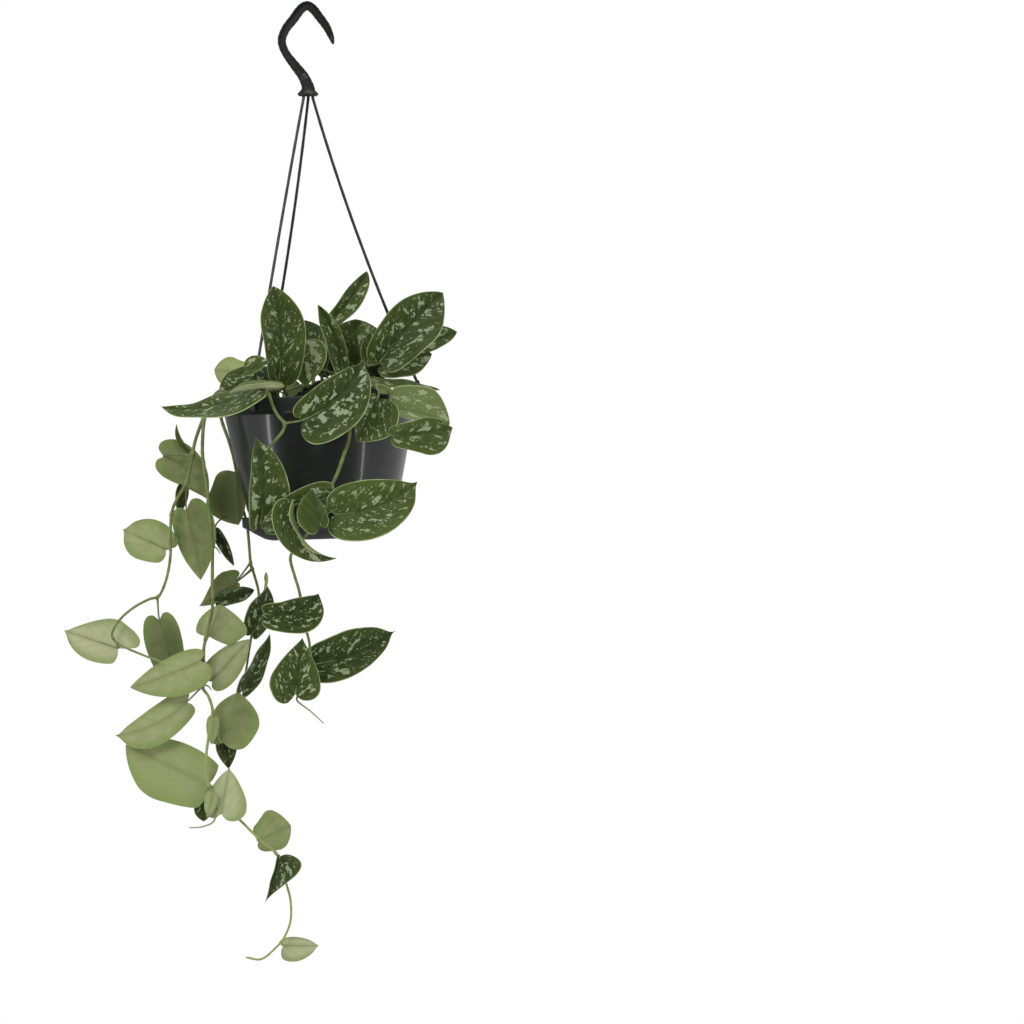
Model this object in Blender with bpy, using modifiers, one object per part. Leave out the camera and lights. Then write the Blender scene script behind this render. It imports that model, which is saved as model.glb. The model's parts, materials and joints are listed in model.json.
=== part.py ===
"""A satin pothos in its hanging pot.

The origin is where the hook bears on what carries it, at the inside of the
hook's top. The front of the plant looks along -Y. The pot hangs about 0.29 m
below the origin and the vines trail to 0.71 m.
"""

import math
from collections import namedtuple

import bpy
import bmesh
import numpy as np
from mathutils import Matrix, Vector

# Sizes, in metres. Places on the front elevation are read on a drawing grid
# whose squares are GRID wide: steps across from the left, steps down from the
# top, then millimetres away from the viewer. The origin lies at grid 307, 11.
GRID = 0.00075
ORIGIN_ACROSS = 307
ORIGIN_DOWN = 11
MILLIMETRE = 0.001

GAP = 0.0003

POT_LEAN = math.radians(1.7)
RIM_CENTRE = (319, 396.5, 0)
RIM_RADIUS = 0.075
RIM_HEIGHT = 0.0127
WALL = 0.0016
POT_HEIGHT = 0.093
POT_FOOT_RADIUS = 0.0545
POT_NECK_RADIUS = 0.0713
RIM_SKIRT = 0.0013
RIM_SHELF = -0.0060
RIM_INWARD = 0.0046
RIM_EDGE = 0.0008
FLOOR_BASE = -POT_HEIGHT + 0.0015
FLOOR_TOP = -POT_HEIGHT + 0.0033
FOOT_RADIUS = 0.046
DRAIN_COUNT = 6
DRAIN_RADIUS = 0.004
DRAIN_RING = 0.030
ROUND_STEPS = 30

SAUCER_RADIUS = 0.0604
SAUCER_TOP = -0.089
SAUCER_LEDGE = -POT_HEIGHT - GAP
SAUCER_BASE = -0.107
SAUCER_BASE_RADIUS = 0.038

SOIL_AT_WALL = -0.008
SOIL_MOUND = 0.022
SOIL_MOUND_SPREAD = 0.024
SOIL_MOUND_OFFSET = 0.014
HOLE_DEPTH = 0.016
STEM_DEPTH = 0.014

HOOK_THICK = 0.0056
HOOK_WEB = 0.0020
HOOK_EDGE = 0.0011
COLLAR_RADIUS = 0.0078
COLLAR_TOP = -0.0603
COLLAR_BASE = -0.0640
NECK_RADIUS = 0.0045
STRAND_RADIUS = 0.0011
STRAND_HOLE_DEPTH = 0.0022
HOLE_SLACK = 0.0001

BLADE_THICK = 0.0008
BLADE_ROWS = 5
STEM_STEP = 0.0145


def place(across, down, depth):
    """The point in metres at a grid place, depth millimetres behind the origin."""
    x = (across - ORIGIN_ACROSS) * GRID
    z = -(down - ORIGIN_DOWN) * GRID
    return np.array((x, depth * MILLIMETRE, z))


# Clearing and collections


for old in list(bpy.data.objects):
    bpy.data.objects.remove(old, do_unlink=True)

parts = bpy.data.collections.new("hanging_satin_pothos")
cutters = bpy.data.collections.new("cutters")
bpy.context.scene.collection.children.link(parts)
bpy.context.scene.collection.children.link(cutters)
cutters.hide_render = True


def material(name, colour, roughness, metallic=0.0):
    found = bpy.data.materials.new(name)
    found.use_nodes = True
    shader = found.node_tree.nodes["Principled BSDF"]
    shader.inputs["Base Color"].default_value = (*colour, 1.0)
    shader.inputs["Roughness"].default_value = roughness
    shader.inputs["Metallic"].default_value = metallic
    found.diffuse_color = (*colour, 1.0)
    return found


BLACK_PLASTIC = material("black_pot_plastic", (0.020, 0.022, 0.021), 0.32)
HOOK_PLASTIC = material("dark_green_hook_plastic", (0.018, 0.022, 0.019), 0.45)
PEAT = material("peat", (0.012, 0.009, 0.007), 0.95)
LEAF_GREEN = material("satin_leaf", (0.055, 0.095, 0.028), 0.55)


def linked(name, mesh, surface, collection=None):
    obj = bpy.data.objects.new(name, mesh)
    if surface is not None:
        mesh.materials.clear()
        mesh.materials.append(surface)
    (collection or parts).objects.link(obj)
    return obj


def tidy(mesh, distance=0.00001):
    """Welds doubles and turns every face outwards."""
    work = bmesh.new()
    work.from_mesh(mesh)
    bmesh.ops.remove_doubles(work, verts=work.verts, dist=distance)
    bmesh.ops.dissolve_degenerate(work, edges=work.edges, dist=distance / 2)
    bmesh.ops.recalc_face_normals(work, faces=work.faces)
    work.to_mesh(mesh)
    work.free()
    return mesh


def baked(obj, name, surface, collection=None, weld=True):
    """Replaces an object by a plain mesh object of its evaluated shape, with loose caps welded."""
    bpy.context.view_layer.update()
    graph = bpy.context.evaluated_depsgraph_get()
    mesh = bpy.data.meshes.new_from_object(obj.evaluated_get(graph))
    mesh.transform(obj.matrix_world)
    bpy.data.objects.remove(obj, do_unlink=True)
    mesh.name = name
    if weld:
        tidy(mesh)
    return linked(name, mesh, surface, collection)


def joined(obj, operation, tools, solver="EXACT"):
    """Applies one Boolean of a collection of tools to the object, then removes the tools."""
    group = bpy.data.collections.new(obj.name + "_tools")
    bpy.context.scene.collection.children.link(group)
    for tool in tools:
        for owner in list(tool.users_collection):
            owner.objects.unlink(tool)
        group.objects.link(tool)
    step = obj.modifiers.new("joined", "BOOLEAN")
    step.operation = operation
    step.operand_type = "COLLECTION"
    step.collection = group
    step.solver = solver
    name = obj.name
    surface = obj.data.materials[0] if obj.data.materials else None
    result = baked(obj, name, surface, weld=False)
    for tool in list(group.objects):
        bpy.data.objects.remove(tool, do_unlink=True)
    bpy.data.collections.remove(group)
    return result


# Curves


def smooth_line(points, count):
    """count + 1 points, evenly spread by place, on a Catmull-Rom curve through the given ones."""
    known = np.array(points, dtype=float)
    known = np.vstack([2 * known[0] - known[1], known, 2 * known[-1] - known[-2]])
    last = len(points) - 1
    found = []
    for place_on in np.linspace(0, last, count + 1):
        first = min(int(place_on), last - 1)
        found.append(between(known[first:first + 4], place_on - first))
    return np.array(found)


def between(four, share):
    """The point of a Catmull-Rom span at a share of the way from its second to its third point."""
    a, b, c, d = four
    return 0.5 * (
        2 * b
        + (c - a) * share
        + (2 * a - 5 * b + 4 * c - d) * share ** 2
        + (3 * b - a - 3 * c + d) * share ** 3
    )


def on_route(route, at):
    """The point of a vine at a place in its route: 2.5 is midway between its points 2 and 3."""
    known = np.array(route, dtype=float)
    known = np.vstack([2 * known[0] - known[1], known, 2 * known[-1] - known[-2]])
    first = min(int(at), len(route) - 2)
    return between(known[first:first + 4], at - first)


def tube(name, points, radii, resolution, surface, collection=None):
    """A round bar along a line of points, as a mesh with welded caps."""
    curve = bpy.data.curves.new(name, "CURVE")
    curve.dimensions = "3D"
    curve.bevel_depth = 1.0
    curve.bevel_resolution = resolution
    curve.use_fill_caps = True
    line = curve.splines.new("POLY")
    line.points.add(len(points) - 1)
    for point, where, radius in zip(line.points, points, radii):
        point.co = (*where, 1.0)
        point.radius = radius
    obj = bpy.data.objects.new(name, curve)
    (collection or parts).objects.link(obj)
    return baked(obj, name, surface, collection)


def plate(name, outline, half, surface, collection=None):
    """A flat outline in the XZ plane, given thickness along Y."""
    curve = bpy.data.curves.new(name, "CURVE")
    curve.dimensions = "2D"
    curve.fill_mode = "BOTH"
    curve.extrude = half
    line = curve.splines.new("POLY")
    line.points.add(len(outline) - 1)
    for point, (x, z) in zip(line.points, outline):
        point.co = (x, z, 0.0, 1.0)
    line.use_cyclic_u = True
    obj = bpy.data.objects.new(name, curve)
    obj.matrix_world = Matrix.Rotation(math.radians(90), 4, "X")
    (collection or parts).objects.link(obj)
    return baked(obj, name, surface, collection)


def drum(name, radius, top, base, centre, sides, surface, collection=None):
    """An upright cylinder between two heights."""
    work = bmesh.new()
    bmesh.ops.create_cone(
        work, cap_ends=True, segments=sides, radius1=radius, radius2=radius, depth=top - base
    )
    mesh = bpy.data.meshes.new(name)
    work.to_mesh(mesh)
    work.free()
    obj = linked(name, mesh, surface, collection)
    mesh.transform(Matrix.Translation((centre[0], centre[1], (top + base) / 2)))
    return obj


def turned(name, profile, surface, steps=ROUND_STEPS):
    """A profile of (radius, height) points, run down the outside, turned about the Z axis."""
    mesh = bpy.data.meshes.new(name)
    corners = [(radius, 0.0, height) for radius, height in profile]
    sides = [(i, i + 1) for i in range(len(corners) - 1) if profile[i][0] or profile[i + 1][0]]
    if profile[0][0] > 0:
        sides.append((len(corners) - 1, 0))
    mesh.from_pydata(corners, sides, [])
    obj = linked(name, mesh, surface)
    screw = obj.modifiers.new("turned", "SCREW")
    screw.axis = "Z"
    screw.angle = math.tau
    screw.steps = steps
    screw.render_steps = steps
    screw.use_merge_vertices = True
    screw.merge_threshold = 0.00001
    return baked(obj, name, surface)


# The pot, its saucer and its soil, drawn upright on the pot's own axis and
# then leaned about the centre of the rim.


RIM_POINT = place(*RIM_CENTRE)
POT_PLACE = Matrix.Translation(Vector(RIM_POINT)) @ Matrix.Rotation(-POT_LEAN, 4, "Y")


def hung(obj):
    """Moves a piece from the pot's own axis to where the pot hangs."""
    obj.matrix_world = POT_PLACE
    return obj


def wall_radius(height):
    """The outside of the pot's tapered wall at a height below the rim."""
    share = (-height - RIM_HEIGHT) / (POT_HEIGHT - RIM_HEIGHT)
    return POT_NECK_RADIUS + (POT_FOOT_RADIUS - POT_NECK_RADIUS) * share


pot = turned("pot", [
    (RIM_RADIUS - RIM_INWARD + 0.0006, 0.0),
    (RIM_RADIUS - RIM_EDGE, 0.0),
    (RIM_RADIUS, -RIM_EDGE),
    (RIM_RADIUS, -RIM_HEIGHT),
    (RIM_RADIUS - RIM_SKIRT, -RIM_HEIGHT),
    (RIM_RADIUS - RIM_SKIRT, RIM_SHELF),
    (wall_radius(RIM_SHELF), RIM_SHELF),
    (wall_radius(-0.030), -0.030),
    (wall_radius(-0.060), -0.060),
    (wall_radius(-POT_HEIGHT + 0.003), -POT_HEIGHT + 0.003),
    (POT_FOOT_RADIUS - 0.0015, -POT_HEIGHT),
    (FOOT_RADIUS, -POT_HEIGHT),
    (FOOT_RADIUS - 0.002, FLOOR_BASE),
    (0.0, FLOOR_BASE),
    (0.0, FLOOR_TOP),
    (wall_radius(FLOOR_TOP) - WALL, FLOOR_TOP),
    (wall_radius(RIM_SHELF) - WALL, RIM_SHELF),
    (RIM_RADIUS - RIM_INWARD, -RIM_EDGE),
], BLACK_PLASTIC)
drains = []
for turn in range(DRAIN_COUNT):
    angle = math.tau * (turn + 0.5) / DRAIN_COUNT
    spot = (DRAIN_RING * math.cos(angle), DRAIN_RING * math.sin(angle))
    top = FLOOR_TOP + 0.0027
    drains.append(drum("drain", DRAIN_RADIUS, top, -POT_HEIGHT - 0.002, spot, 8, None, cutters))
pot = hung(joined(pot, "DIFFERENCE", drains))

hung(turned("saucer", [
    (SAUCER_RADIUS - 0.0014, SAUCER_TOP),
    (SAUCER_RADIUS - 0.0003, SAUCER_TOP),
    (SAUCER_RADIUS, SAUCER_TOP - 0.0005),
    (SAUCER_RADIUS, -0.0962),
    (SAUCER_RADIUS - 0.0016, -0.0974),
    (SAUCER_RADIUS - 0.0040, -0.0982),
    (SAUCER_RADIUS - 0.0085, -0.1012),
    (SAUCER_BASE_RADIUS + 0.0055, -0.1058),
    (SAUCER_BASE_RADIUS, SAUCER_BASE),
    (0.0, SAUCER_BASE),
    (0.0, SAUCER_BASE + 0.0016),
    (SAUCER_BASE_RADIUS, SAUCER_BASE + 0.0018),
    (0.0500, -0.1000),
    (0.0515, SAUCER_LEDGE),
    (SAUCER_RADIUS - 0.0018, SAUCER_LEDGE),
], BLACK_PLASTIC))


def soil_height(x, y):
    """The surface of the soil over a spot, measured from the pot's rim centre."""
    away = (x - SOIL_MOUND_OFFSET) ** 2 + y ** 2
    mound = SOIL_MOUND * math.exp(-away / (2 * SOIL_MOUND_SPREAD ** 2))
    return SOIL_AT_WALL + mound


floor_inside = FLOOR_TOP + GAP
soil_edge = wall_radius(SOIL_AT_WALL) - WALL - GAP
rings = [(0.0, SOIL_AT_WALL)]
rings += [(soil_edge * share, SOIL_AT_WALL) for share in (0.14, 0.29, 0.44, 0.60, 0.78)]
rings += [
    (soil_edge, SOIL_AT_WALL),
    (wall_radius(floor_inside) - WALL - GAP, floor_inside),
    (0.0, floor_inside),
]
soil = turned("soil", rings, PEAT)
for vertex in soil.data.vertices:
    if abs(vertex.co.z - SOIL_AT_WALL) < 0.0001:
        reach = math.hypot(vertex.co.x, vertex.co.y)
        if reach < soil_edge - 0.001:
            vertex.co.z = soil_height(vertex.co.x, vertex.co.y)
soil = hung(soil)


# The hook: a flat I-section bar bent to a hook, over a round collar that the
# three strands come out of. Each row is a place on the bar's centre line and
# half its width in grid squares.


HOOK_LINE = (
    (333.2, 44.0, 1.2),
    (331.2, 37.0, 3.0),
    (326.6, 27.0, 4.0),
    (319.0, 16.5, 4.4),
    (313.0, 9.0, 4.6),
    (307.2, 5.8, 4.7),
    (301.0, 9.0, 4.7),
    (293.5, 19.0, 4.7),
    (285.5, 29.5, 4.4),
    (281.8, 41.0, 4.2),
    (285.5, 52.5, 4.1),
    (294.5, 65.0, 4.7),
    (303.0, 76.0, 5.4),
    (307.6, 86.0, 6.2),
    (308.2, 92.5, 7.6),
)


def bar_outline(rows, inset, scallop=0.0):
    """Both edges of a bar about its centre line, as one closed outline in metres."""
    line = smooth_line(rows, 2 * (len(rows) - 1))
    left = []
    right = []
    for index, (across, down, half) in enumerate(line):
        before = line[max(index - 1, 0)]
        after = line[min(index + 1, len(line) - 1)]
        run = np.array((after[0] - before[0], after[1] - before[1]))
        run /= np.linalg.norm(run)
        side = np.array((run[1], -run[0]))
        wide = half - inset / GRID + scallop * (index % 2)
        middle = np.array((across, down))
        for edge, way in ((left, 1), (right, -1)):
            spot = middle + side * wide * way
            where = place(spot[0], spot[1], 0)
            edge.append((where[0], where[2]))
    return left + right[::-1]


def strand_hole(across, depth):
    """Where a strand enters the collar, as x and y in metres."""
    spot = place(across, 0, depth)
    return spot[0], spot[1]


STRAND_STARTS = {
    "strand_left": strand_hole(303.6, -1.6),
    "strand_back": strand_hole(308.2, 3.4),
    "strand_right": strand_hole(312.8, -1.6),
}

hook = plate("hook", bar_outline(HOOK_LINE, 0.0, 0.35), HOOK_THICK / 2, HOOK_PLASTIC)
collar_centre = strand_hole(308.0, 0)
collar = drum("collar", COLLAR_RADIUS, COLLAR_TOP, COLLAR_BASE, collar_centre, 24, None, cutters)
neck = drum(
    "neck", NECK_RADIUS, COLLAR_TOP + 0.004, COLLAR_TOP - 0.001, collar_centre, 16, None, cutters
)
hook = joined(hook, "UNION", [collar, neck])
recess_rows = HOOK_LINE[1:-2]
hollows = []
for way in (1, -1):
    hollow = plate("hollow", bar_outline(recess_rows, HOOK_EDGE), HOOK_THICK / 2, None, cutters)
    hollow.data.transform(Matrix.Translation((0, way * (HOOK_WEB + HOOK_THICK) / 2, 0)))
    hollows.append(hollow)
for start in STRAND_STARTS.values():
    top = COLLAR_BASE + STRAND_HOLE_DEPTH
    hole_radius = STRAND_RADIUS + GAP + HOLE_SLACK
    hollows.append(drum("socket", hole_radius, top, COLLAR_BASE - 0.002, start, 12, None, cutters))
hook = joined(hook, "DIFFERENCE", hollows)


# The strands: each runs from its hole in the collar to a clip that straddles
# the pot's rim. Each row gives the clip's angle round the rim and how far the
# strand sags sideways at its middle, in grid squares.


STRANDS = {
    "strand_left": (230.0, -1.0),
    "strand_back": (124.0, 3.0),
    "strand_right": (2.0, -5.5),
}
CLIP_HALF_WIDTH = 0.0022
INNER_LEG = RIM_RADIUS - RIM_INWARD - 2 * GAP
OUTER_LEG = RIM_RADIUS + GAP
CLIP_OUTLINE = (
    (INNER_LEG - 0.0016, -0.0055),
    (INNER_LEG, -0.0055),
    (INNER_LEG, GAP),
    (OUTER_LEG, GAP),
    (OUTER_LEG, -0.0095),
    (OUTER_LEG + 0.0016, -0.0095),
    (OUTER_LEG + 0.0022, 0.0015),
    (RIM_RADIUS + 0.0004, 0.0100),
    (RIM_RADIUS - 0.0022, 0.0100),
    (INNER_LEG - 0.0016, 0.0022),
)

for name, (angle, sag) in STRANDS.items():
    clip = plate(name + "_clip", CLIP_OUTLINE, CLIP_HALF_WIDTH, None, cutters)
    turn = Matrix.Rotation(math.radians(angle), 4, "Z")
    clip.data.transform(POT_PLACE @ turn)
    top = Vector((*STRAND_STARTS[name], COLLAR_BASE + STRAND_HOLE_DEPTH - GAP))
    clip_top = POT_PLACE @ turn @ Vector((RIM_RADIUS - 0.0012, 0.0, 0.0090))
    clip_inside = POT_PLACE @ turn @ Vector((RIM_RADIUS - 0.0016, 0.0, 0.0035))
    leave = top - Vector((0, 0, STRAND_HOLE_DEPTH + 0.001))
    line = [top, leave]
    for share in (0.12, 0.25, 0.375, 0.5, 0.625, 0.75, 0.875, 1.0):
        bend = 4 * share * (1 - share) * sag * GRID
        line.append(leave.lerp(clip_top, share) + Vector((bend, 0, 0)))
    line.append(clip_inside)
    strand = tube(name, line, [STRAND_RADIUS] * len(line), 2, HOOK_PLASTIC)
    strand = joined(strand, "UNION", [clip])


# Leaves. A blade is drawn on the flat as rows from the stalk to the tip: how
# far along the midrib the row starts, how far along its margin point lies and
# how far out. OVAL is a full leaf, HEART a pointed one with deep lobes.


OVAL = (
    (0.00, -0.040, 0.040), (0.03, -0.095, 0.145), (0.08, -0.085, 0.290), (0.15, -0.005, 0.410),
    (0.26, 0.135, 0.482), (0.40, 0.320, 0.500), (0.54, 0.500, 0.468), (0.68, 0.675, 0.378),
    (0.82, 0.830, 0.235), (0.93, 0.940, 0.095), (1.00, 1.000, 0.000),
)
HEART = (
    (0.00, -0.055, 0.040), (0.03, -0.125, 0.140), (0.08, -0.120, 0.290), (0.15, -0.040, 0.420),
    (0.26, 0.100, 0.495), (0.40, 0.290, 0.475), (0.54, 0.480, 0.385), (0.68, 0.660, 0.265),
    (0.82, 0.820, 0.140), (0.93, 0.935, 0.045), (1.00, 1.000, 0.000),
)
MIDRIB_STEPS = 24

Leaf = namedtuple("Leaf", "at base tip face wide fold curl sweep twist form lobe drip")


def leaf(at, base, tip, face, wide, fold=8, curl=15, sweep=0, twist=0, form=0.3, lobe=1.0, drip=0):
    """A leaf, whose stalk leaves the vine at a place of its route.

    base and tip are grid places. face is roughly where its upper side looks.
    wide is its width as a share of its length. fold is how far each half is
    lifted about the midrib, curl how far the midrib arches, sweep how far it
    bends sideways and twist how far it turns, in degrees. form runs from oval
    to heart, lobe stretches the basal lobes and drip narrows the blade just
    before its tip. A pair gives the right half, then the left, seen from above.
    """
    return Leaf(
        at, place(*base), place(*tip), face, pair(wide), pair(fold), curl, sweep, twist,
        pair(form), pair(lobe), drip,
    )


def pair(value):
    return value if isinstance(value, tuple) else (value, value)


def unit(vector):
    vector = np.asarray(vector, dtype=float)
    return vector / np.linalg.norm(vector)


def midrib(row):
    """Shares, points, directions, sides and upper normals along a leaf's midrib, and its length."""
    shares = np.linspace(0, 1, MIDRIB_STEPS + 1)

    def heading(share):
        bend = math.radians(row.curl) * (share - 0.5)
        turn = math.radians(row.sweep) * (share - 0.5)
        flat = np.cos(bend)
        return np.stack([flat * np.cos(turn), flat * np.sin(turn), -np.sin(bend)], -1)

    steps = heading((shares[1:] + shares[:-1]) / 2) / MIDRIB_STEPS
    drawn = np.vstack([np.zeros(3), np.cumsum(steps, 0)])
    along = unit(drawn[-1])
    side = unit(np.cross((0, 0, 1), along))
    drawn_frame = np.stack([along, side, np.cross(along, side)])
    run = unit(row.tip - row.base)
    look = np.asarray(row.face, dtype=float)
    up = unit(look - (look @ run) * run)
    real_frame = np.stack([run, np.cross(up, run), up])
    turn = drawn_frame.T @ real_frame
    length = np.linalg.norm(row.tip - row.base) / np.linalg.norm(drawn[-1])
    points = row.base + length * (drawn @ turn)
    runs = heading(shares) @ turn
    sides = np.cross(np.tile(up, (MIDRIB_STEPS + 1, 1)), runs)
    sides /= np.linalg.norm(sides, axis=1)[:, None]
    ups = np.cross(runs, sides)
    twist = np.radians(row.twist) * (shares - 0.5)
    cosine = np.cos(twist)[:, None]
    sine = np.sin(twist)[:, None]
    return shares, points, runs, sides * cosine + ups * sine, ups * cosine - sides * sine, length


def drawn_half(form, drip, count):
    """Half a blade's drawn rows, read at count + 1 even places from its base to its tip."""
    drawn = np.array(OVAL) * (1 - form) + np.array(HEART) * form
    drawn[-2][2] *= 1 - drip
    found = smooth_line(drawn, count)
    found[-1][2] = 0.0
    return found


def blade_grid(row, rows):
    """A leaf's middle surface: at each station its right margin, midrib and left margin."""
    shares, points, runs, sides, ups, length = midrib(row)
    outlines = [drawn_half(form, row.drip, rows) for form in row.form]
    grid = []
    for station in range(rows + 1):
        line = []
        for half, way in ((0, -1), (0, 0), (1, 1)):
            start, margin, out = outlines[half][station]
            if way == 0:
                along = start
            elif margin < 0:
                along = margin * row.lobe[half]
            else:
                along = margin
            on_rib = min(max(along, 0.0), 1.0)
            middle, run, side, up = (
                np.array([np.interp(on_rib, shares, values[:, axis]) for axis in range(3)])
                for values in (points, runs, sides, ups)
            )
            width = row.wide[half] * out * abs(way)
            lift = math.radians(row.fold[half])
            spot = middle + (along - on_rib) * length * unit(run)
            spot = spot + length * width * math.cos(lift) * way * unit(side)
            line.append(spot + length * width * math.sin(lift) * unit(up))
        grid.append(line)
    return np.array(grid)


def blade(name, row):
    """A leaf's blade: the grid as a thin solid."""
    grid = blade_grid(row, BLADE_ROWS)
    wide = grid.shape[1]
    faces = []
    for i in range(BLADE_ROWS):
        for j in range(wide - 1):
            corner = i * wide + j
            faces.append((corner, corner + 1, corner + wide + 1, corner + wide))
    mesh = bpy.data.meshes.new(name)
    mesh.from_pydata([tuple(point) for point in grid.reshape(-1, 3)], [], faces)
    work = bmesh.new()
    work.from_mesh(mesh)
    bmesh.ops.remove_doubles(work, verts=work.verts, dist=0.0002)
    bmesh.ops.triangulate(work, faces=work.faces)
    work.to_mesh(mesh)
    work.free()
    obj = linked(name, mesh, None, cutters)
    shell = obj.modifiers.new("thick", "SOLIDIFY")
    shell.thickness = BLADE_THICK
    shell.offset = 0.0
    return baked(obj, name, None, cutters)


def stalk_line(row, route):
    """A leaf's stalk, from inside the vine to a little way under its midrib."""
    start = on_route(route, row.at)
    shares, points, runs, sides, ups, length = midrib(row)
    reach = np.linalg.norm(row.base - start)
    early = start + (row.base - start) * 0.35
    late = row.base - runs[0] * reach * 0.28
    line = []
    for share in np.linspace(0, 1, 4):
        rest = 1 - share
        line.append(
            rest ** 3 * start
            + 3 * rest ** 2 * share * early
            + 3 * rest * share ** 2 * late
            + share ** 3 * row.base
        )
    line.append(row.base + runs[0] * length * 0.07 - ups[0] * 0.0002)
    return line


def vine(name, foot, route, thick, stalk, leaves, roots=()):
    """One leafy stem: it stands in a hole in the soil and carries its leaves, all one body.

    foot is across and depth of the hole. thick is the stem's radius at the
    soil and at its end, stalk that of the leaf stalks, in millimetres.
    """
    x, y, z = place(foot[0], 0, foot[1])
    from_middle = x - RIM_POINT[0]
    surface = RIM_POINT[2] + soil_height(from_middle, y) + from_middle * math.sin(POT_LEAN)
    line = [np.array((x, y, surface - STEM_DEPTH)), np.array((x, y, surface + 0.003))]
    line += [place(*row) for row in route]
    last = len(line) - 1
    length = sum(np.linalg.norm(b - a) for a, b in zip(line[1:-1], line[2:]))
    count = max(last, round(length / STEM_STEP))
    points = [line[0]] + [on_route(line, at) for at in np.linspace(1, last, count + 1)]
    radii = np.linspace(thick[0], thick[1], len(points)) * MILLIMETRE
    body = tube(name, points, radii, 1, LEAF_GREEN)
    pieces = []
    for number, row in enumerate(leaves):
        pieces.append(blade("blade_%d" % number, row))
        bar = stalk_line(row, line)
        radii = [stalk * MILLIMETRE] * (len(bar) - 1) + [0.5 * MILLIMETRE]
        pieces.append(tube("stalk_%d" % number, bar, radii, 0, None, cutters))
    for number, (root, radius) in enumerate(roots):
        bar = [place(*row) for row in root]
        radii = np.linspace(radius, radius * 0.7, len(bar)) * MILLIMETRE
        pieces.append(tube("root_%d" % number, bar, radii, 0, None, cutters))
    body = joined(body, "UNION", pieces)
    hole_radius = thick[0] * MILLIMETRE + GAP + HOLE_SLACK
    top = surface + 0.010
    holes.append(drum("hole", hole_radius, top, surface - HOLE_DEPTH, (x, y), 8, None, cutters))
    return body


holes = []

FRONT = (0, -1, 0.1)
BACK = (0, 1, 0)

vine("vine_crown_left", (272, -30), (
    (268, 390, -31), (258, 380, -33), (250, 373, -35), (246, 370.5, -36),
), (1.3, 1.0), 0.8, (
    leaf(4.6, (246, 371, -37), (215, 370, -28), (0, 0.9, -0.3), 0.72, fold=5, curl=30, form=-2, lobe=0.5),
    leaf(4.4, (249, 372, -61), (271, 362, -67), (-0.1, -0.8, 0.6), (0.6, 1.1), fold=10, curl=10),
    leaf(2.0, (253, 392, -70), (163, 407, -56), (0, -0.6, 0.8), (0.3, 0.6), curl=10, sweep=-80, form=0.9,
         lobe=0.5),
    leaf(2.2, (258, 378, -40), (221, 399, -62), (-0.1, -0.9, 0.3), (0.7, 0.3), form=-0.5),
))

vine("vine_crown_tall", (288, -22), (
    (286, 392, -24), (281, 383, -30),
), (1.3, 1.1), 0.8, (
    leaf(2.9, (280, 379, -42), (274, 287, -50), (0, -1, 0.05), (0.50, 0.34), fold=(5, 15), curl=10,
         sweep=22,
         form=(-0.9, -1.8)),
    leaf(2.0, (310, 372, 8), (305, 320, 14), (0, -1, 0.2), 0.8, fold=10, form=-1.2),
    leaf(1.9, (280, 391, -8), (256, 369, -4), (0, -1, 0.2), 0.9, fold=5, form=-0.5),
))

vine("vine_crown_mid", (322, -6), (
    (321, 368, -6), (322, 348, -4), (325, 325, 0), (328, 317, 2),
), (1.3, 0.9), 0.8, (
    leaf(4.9, (330, 322, 2), (367, 271, 8), (-0.2, -0.9, 0.4), (0.42, 0.24), fold=(10, 40),
         curl=10, sweep=24,
         form=-1),
    leaf(1.8, (343, 371, -20), (318, 305, -16), (0, -1, 0.1), (0.22, 0.36), fold=(20, 35), sweep=30,
         form=-0.5),
    leaf(2.2, (298, 346, -27), (306, 387, -37), (0.1, -0.8, 0.5), (0.7, 1.25), fold=10, curl=20),
    leaf(1.6, (331, 374, 24), (329, 332, 28), (0, -1, 0.2), 0.85, fold=6, form=-0.8),
))

vine("vine_crown_high", (352, 6), (
    (354, 373, 4), (359, 367, 0), (364, 362, -4),
), (1.3, 1.0), 0.8, (
    leaf(3.2, (381, 361, -22), (443, 293, -26), (-0.1, -1, 0.15), (0.58, 0.49), curl=12, sweep=-12,
         form=(-1.3, -0.8)),
    leaf(3.8, (408, 352, -2), (457, 332, 6), (0, -1, 0.4), (0.34, 0.45), fold=10, form=(-1, -1.4)),
    leaf(3.6, (381, 364, -13), (432, 354, -8), (0, -1, 0.4), (0.78, 0.5), fold=10, form=-0.6),
    leaf(3.9, (358, 364, 2), (355, 319, 12), (0, -1, 0.3), (1.0, 1.25), fold=10, form=-1),
    leaf(3.9, (374, 361, -8), (376, 329, -2), (0, -1, 0.3), 0.85, fold=10, form=0),
    leaf(2.3, (374, 377, 16), (370, 340, 24), (0, -1, 0.2), 0.9, fold=6, form=-0.8),
))

vine("vine_crown_right", (366, -30), (
    (368, 390, -36), (374, 387, -46), (381, 386, -55), (388, 389, -62), (392, 396, -66),
), (1.3, 1.0), 0.8, (
    leaf(3.5, (378, 400, -74), (358, 442, -86), (0.2, -1, 0.3), (0.45, 1.15), form=-0.5),
    leaf(5.4, (394, 409, -70), (450, 425, -60), (0.1, -0.75, 0.65), (0.4, 1.0), sweep=-15,
         form=(-1.5, -1)),
    leaf(5.9, (393, 436, -84), (453, 428, -74), (0.1, -0.9, -0.1), (0.54, 0.42), fold=10, sweep=8,
         form=(-2.6, -1.4), drip=0.35),
    leaf(2.3, (374, 380, -36), (440, 390, -30), (0, -0.5, 0.85), (0.52, 0.12), fold=5, form=-0.5),
))

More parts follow.
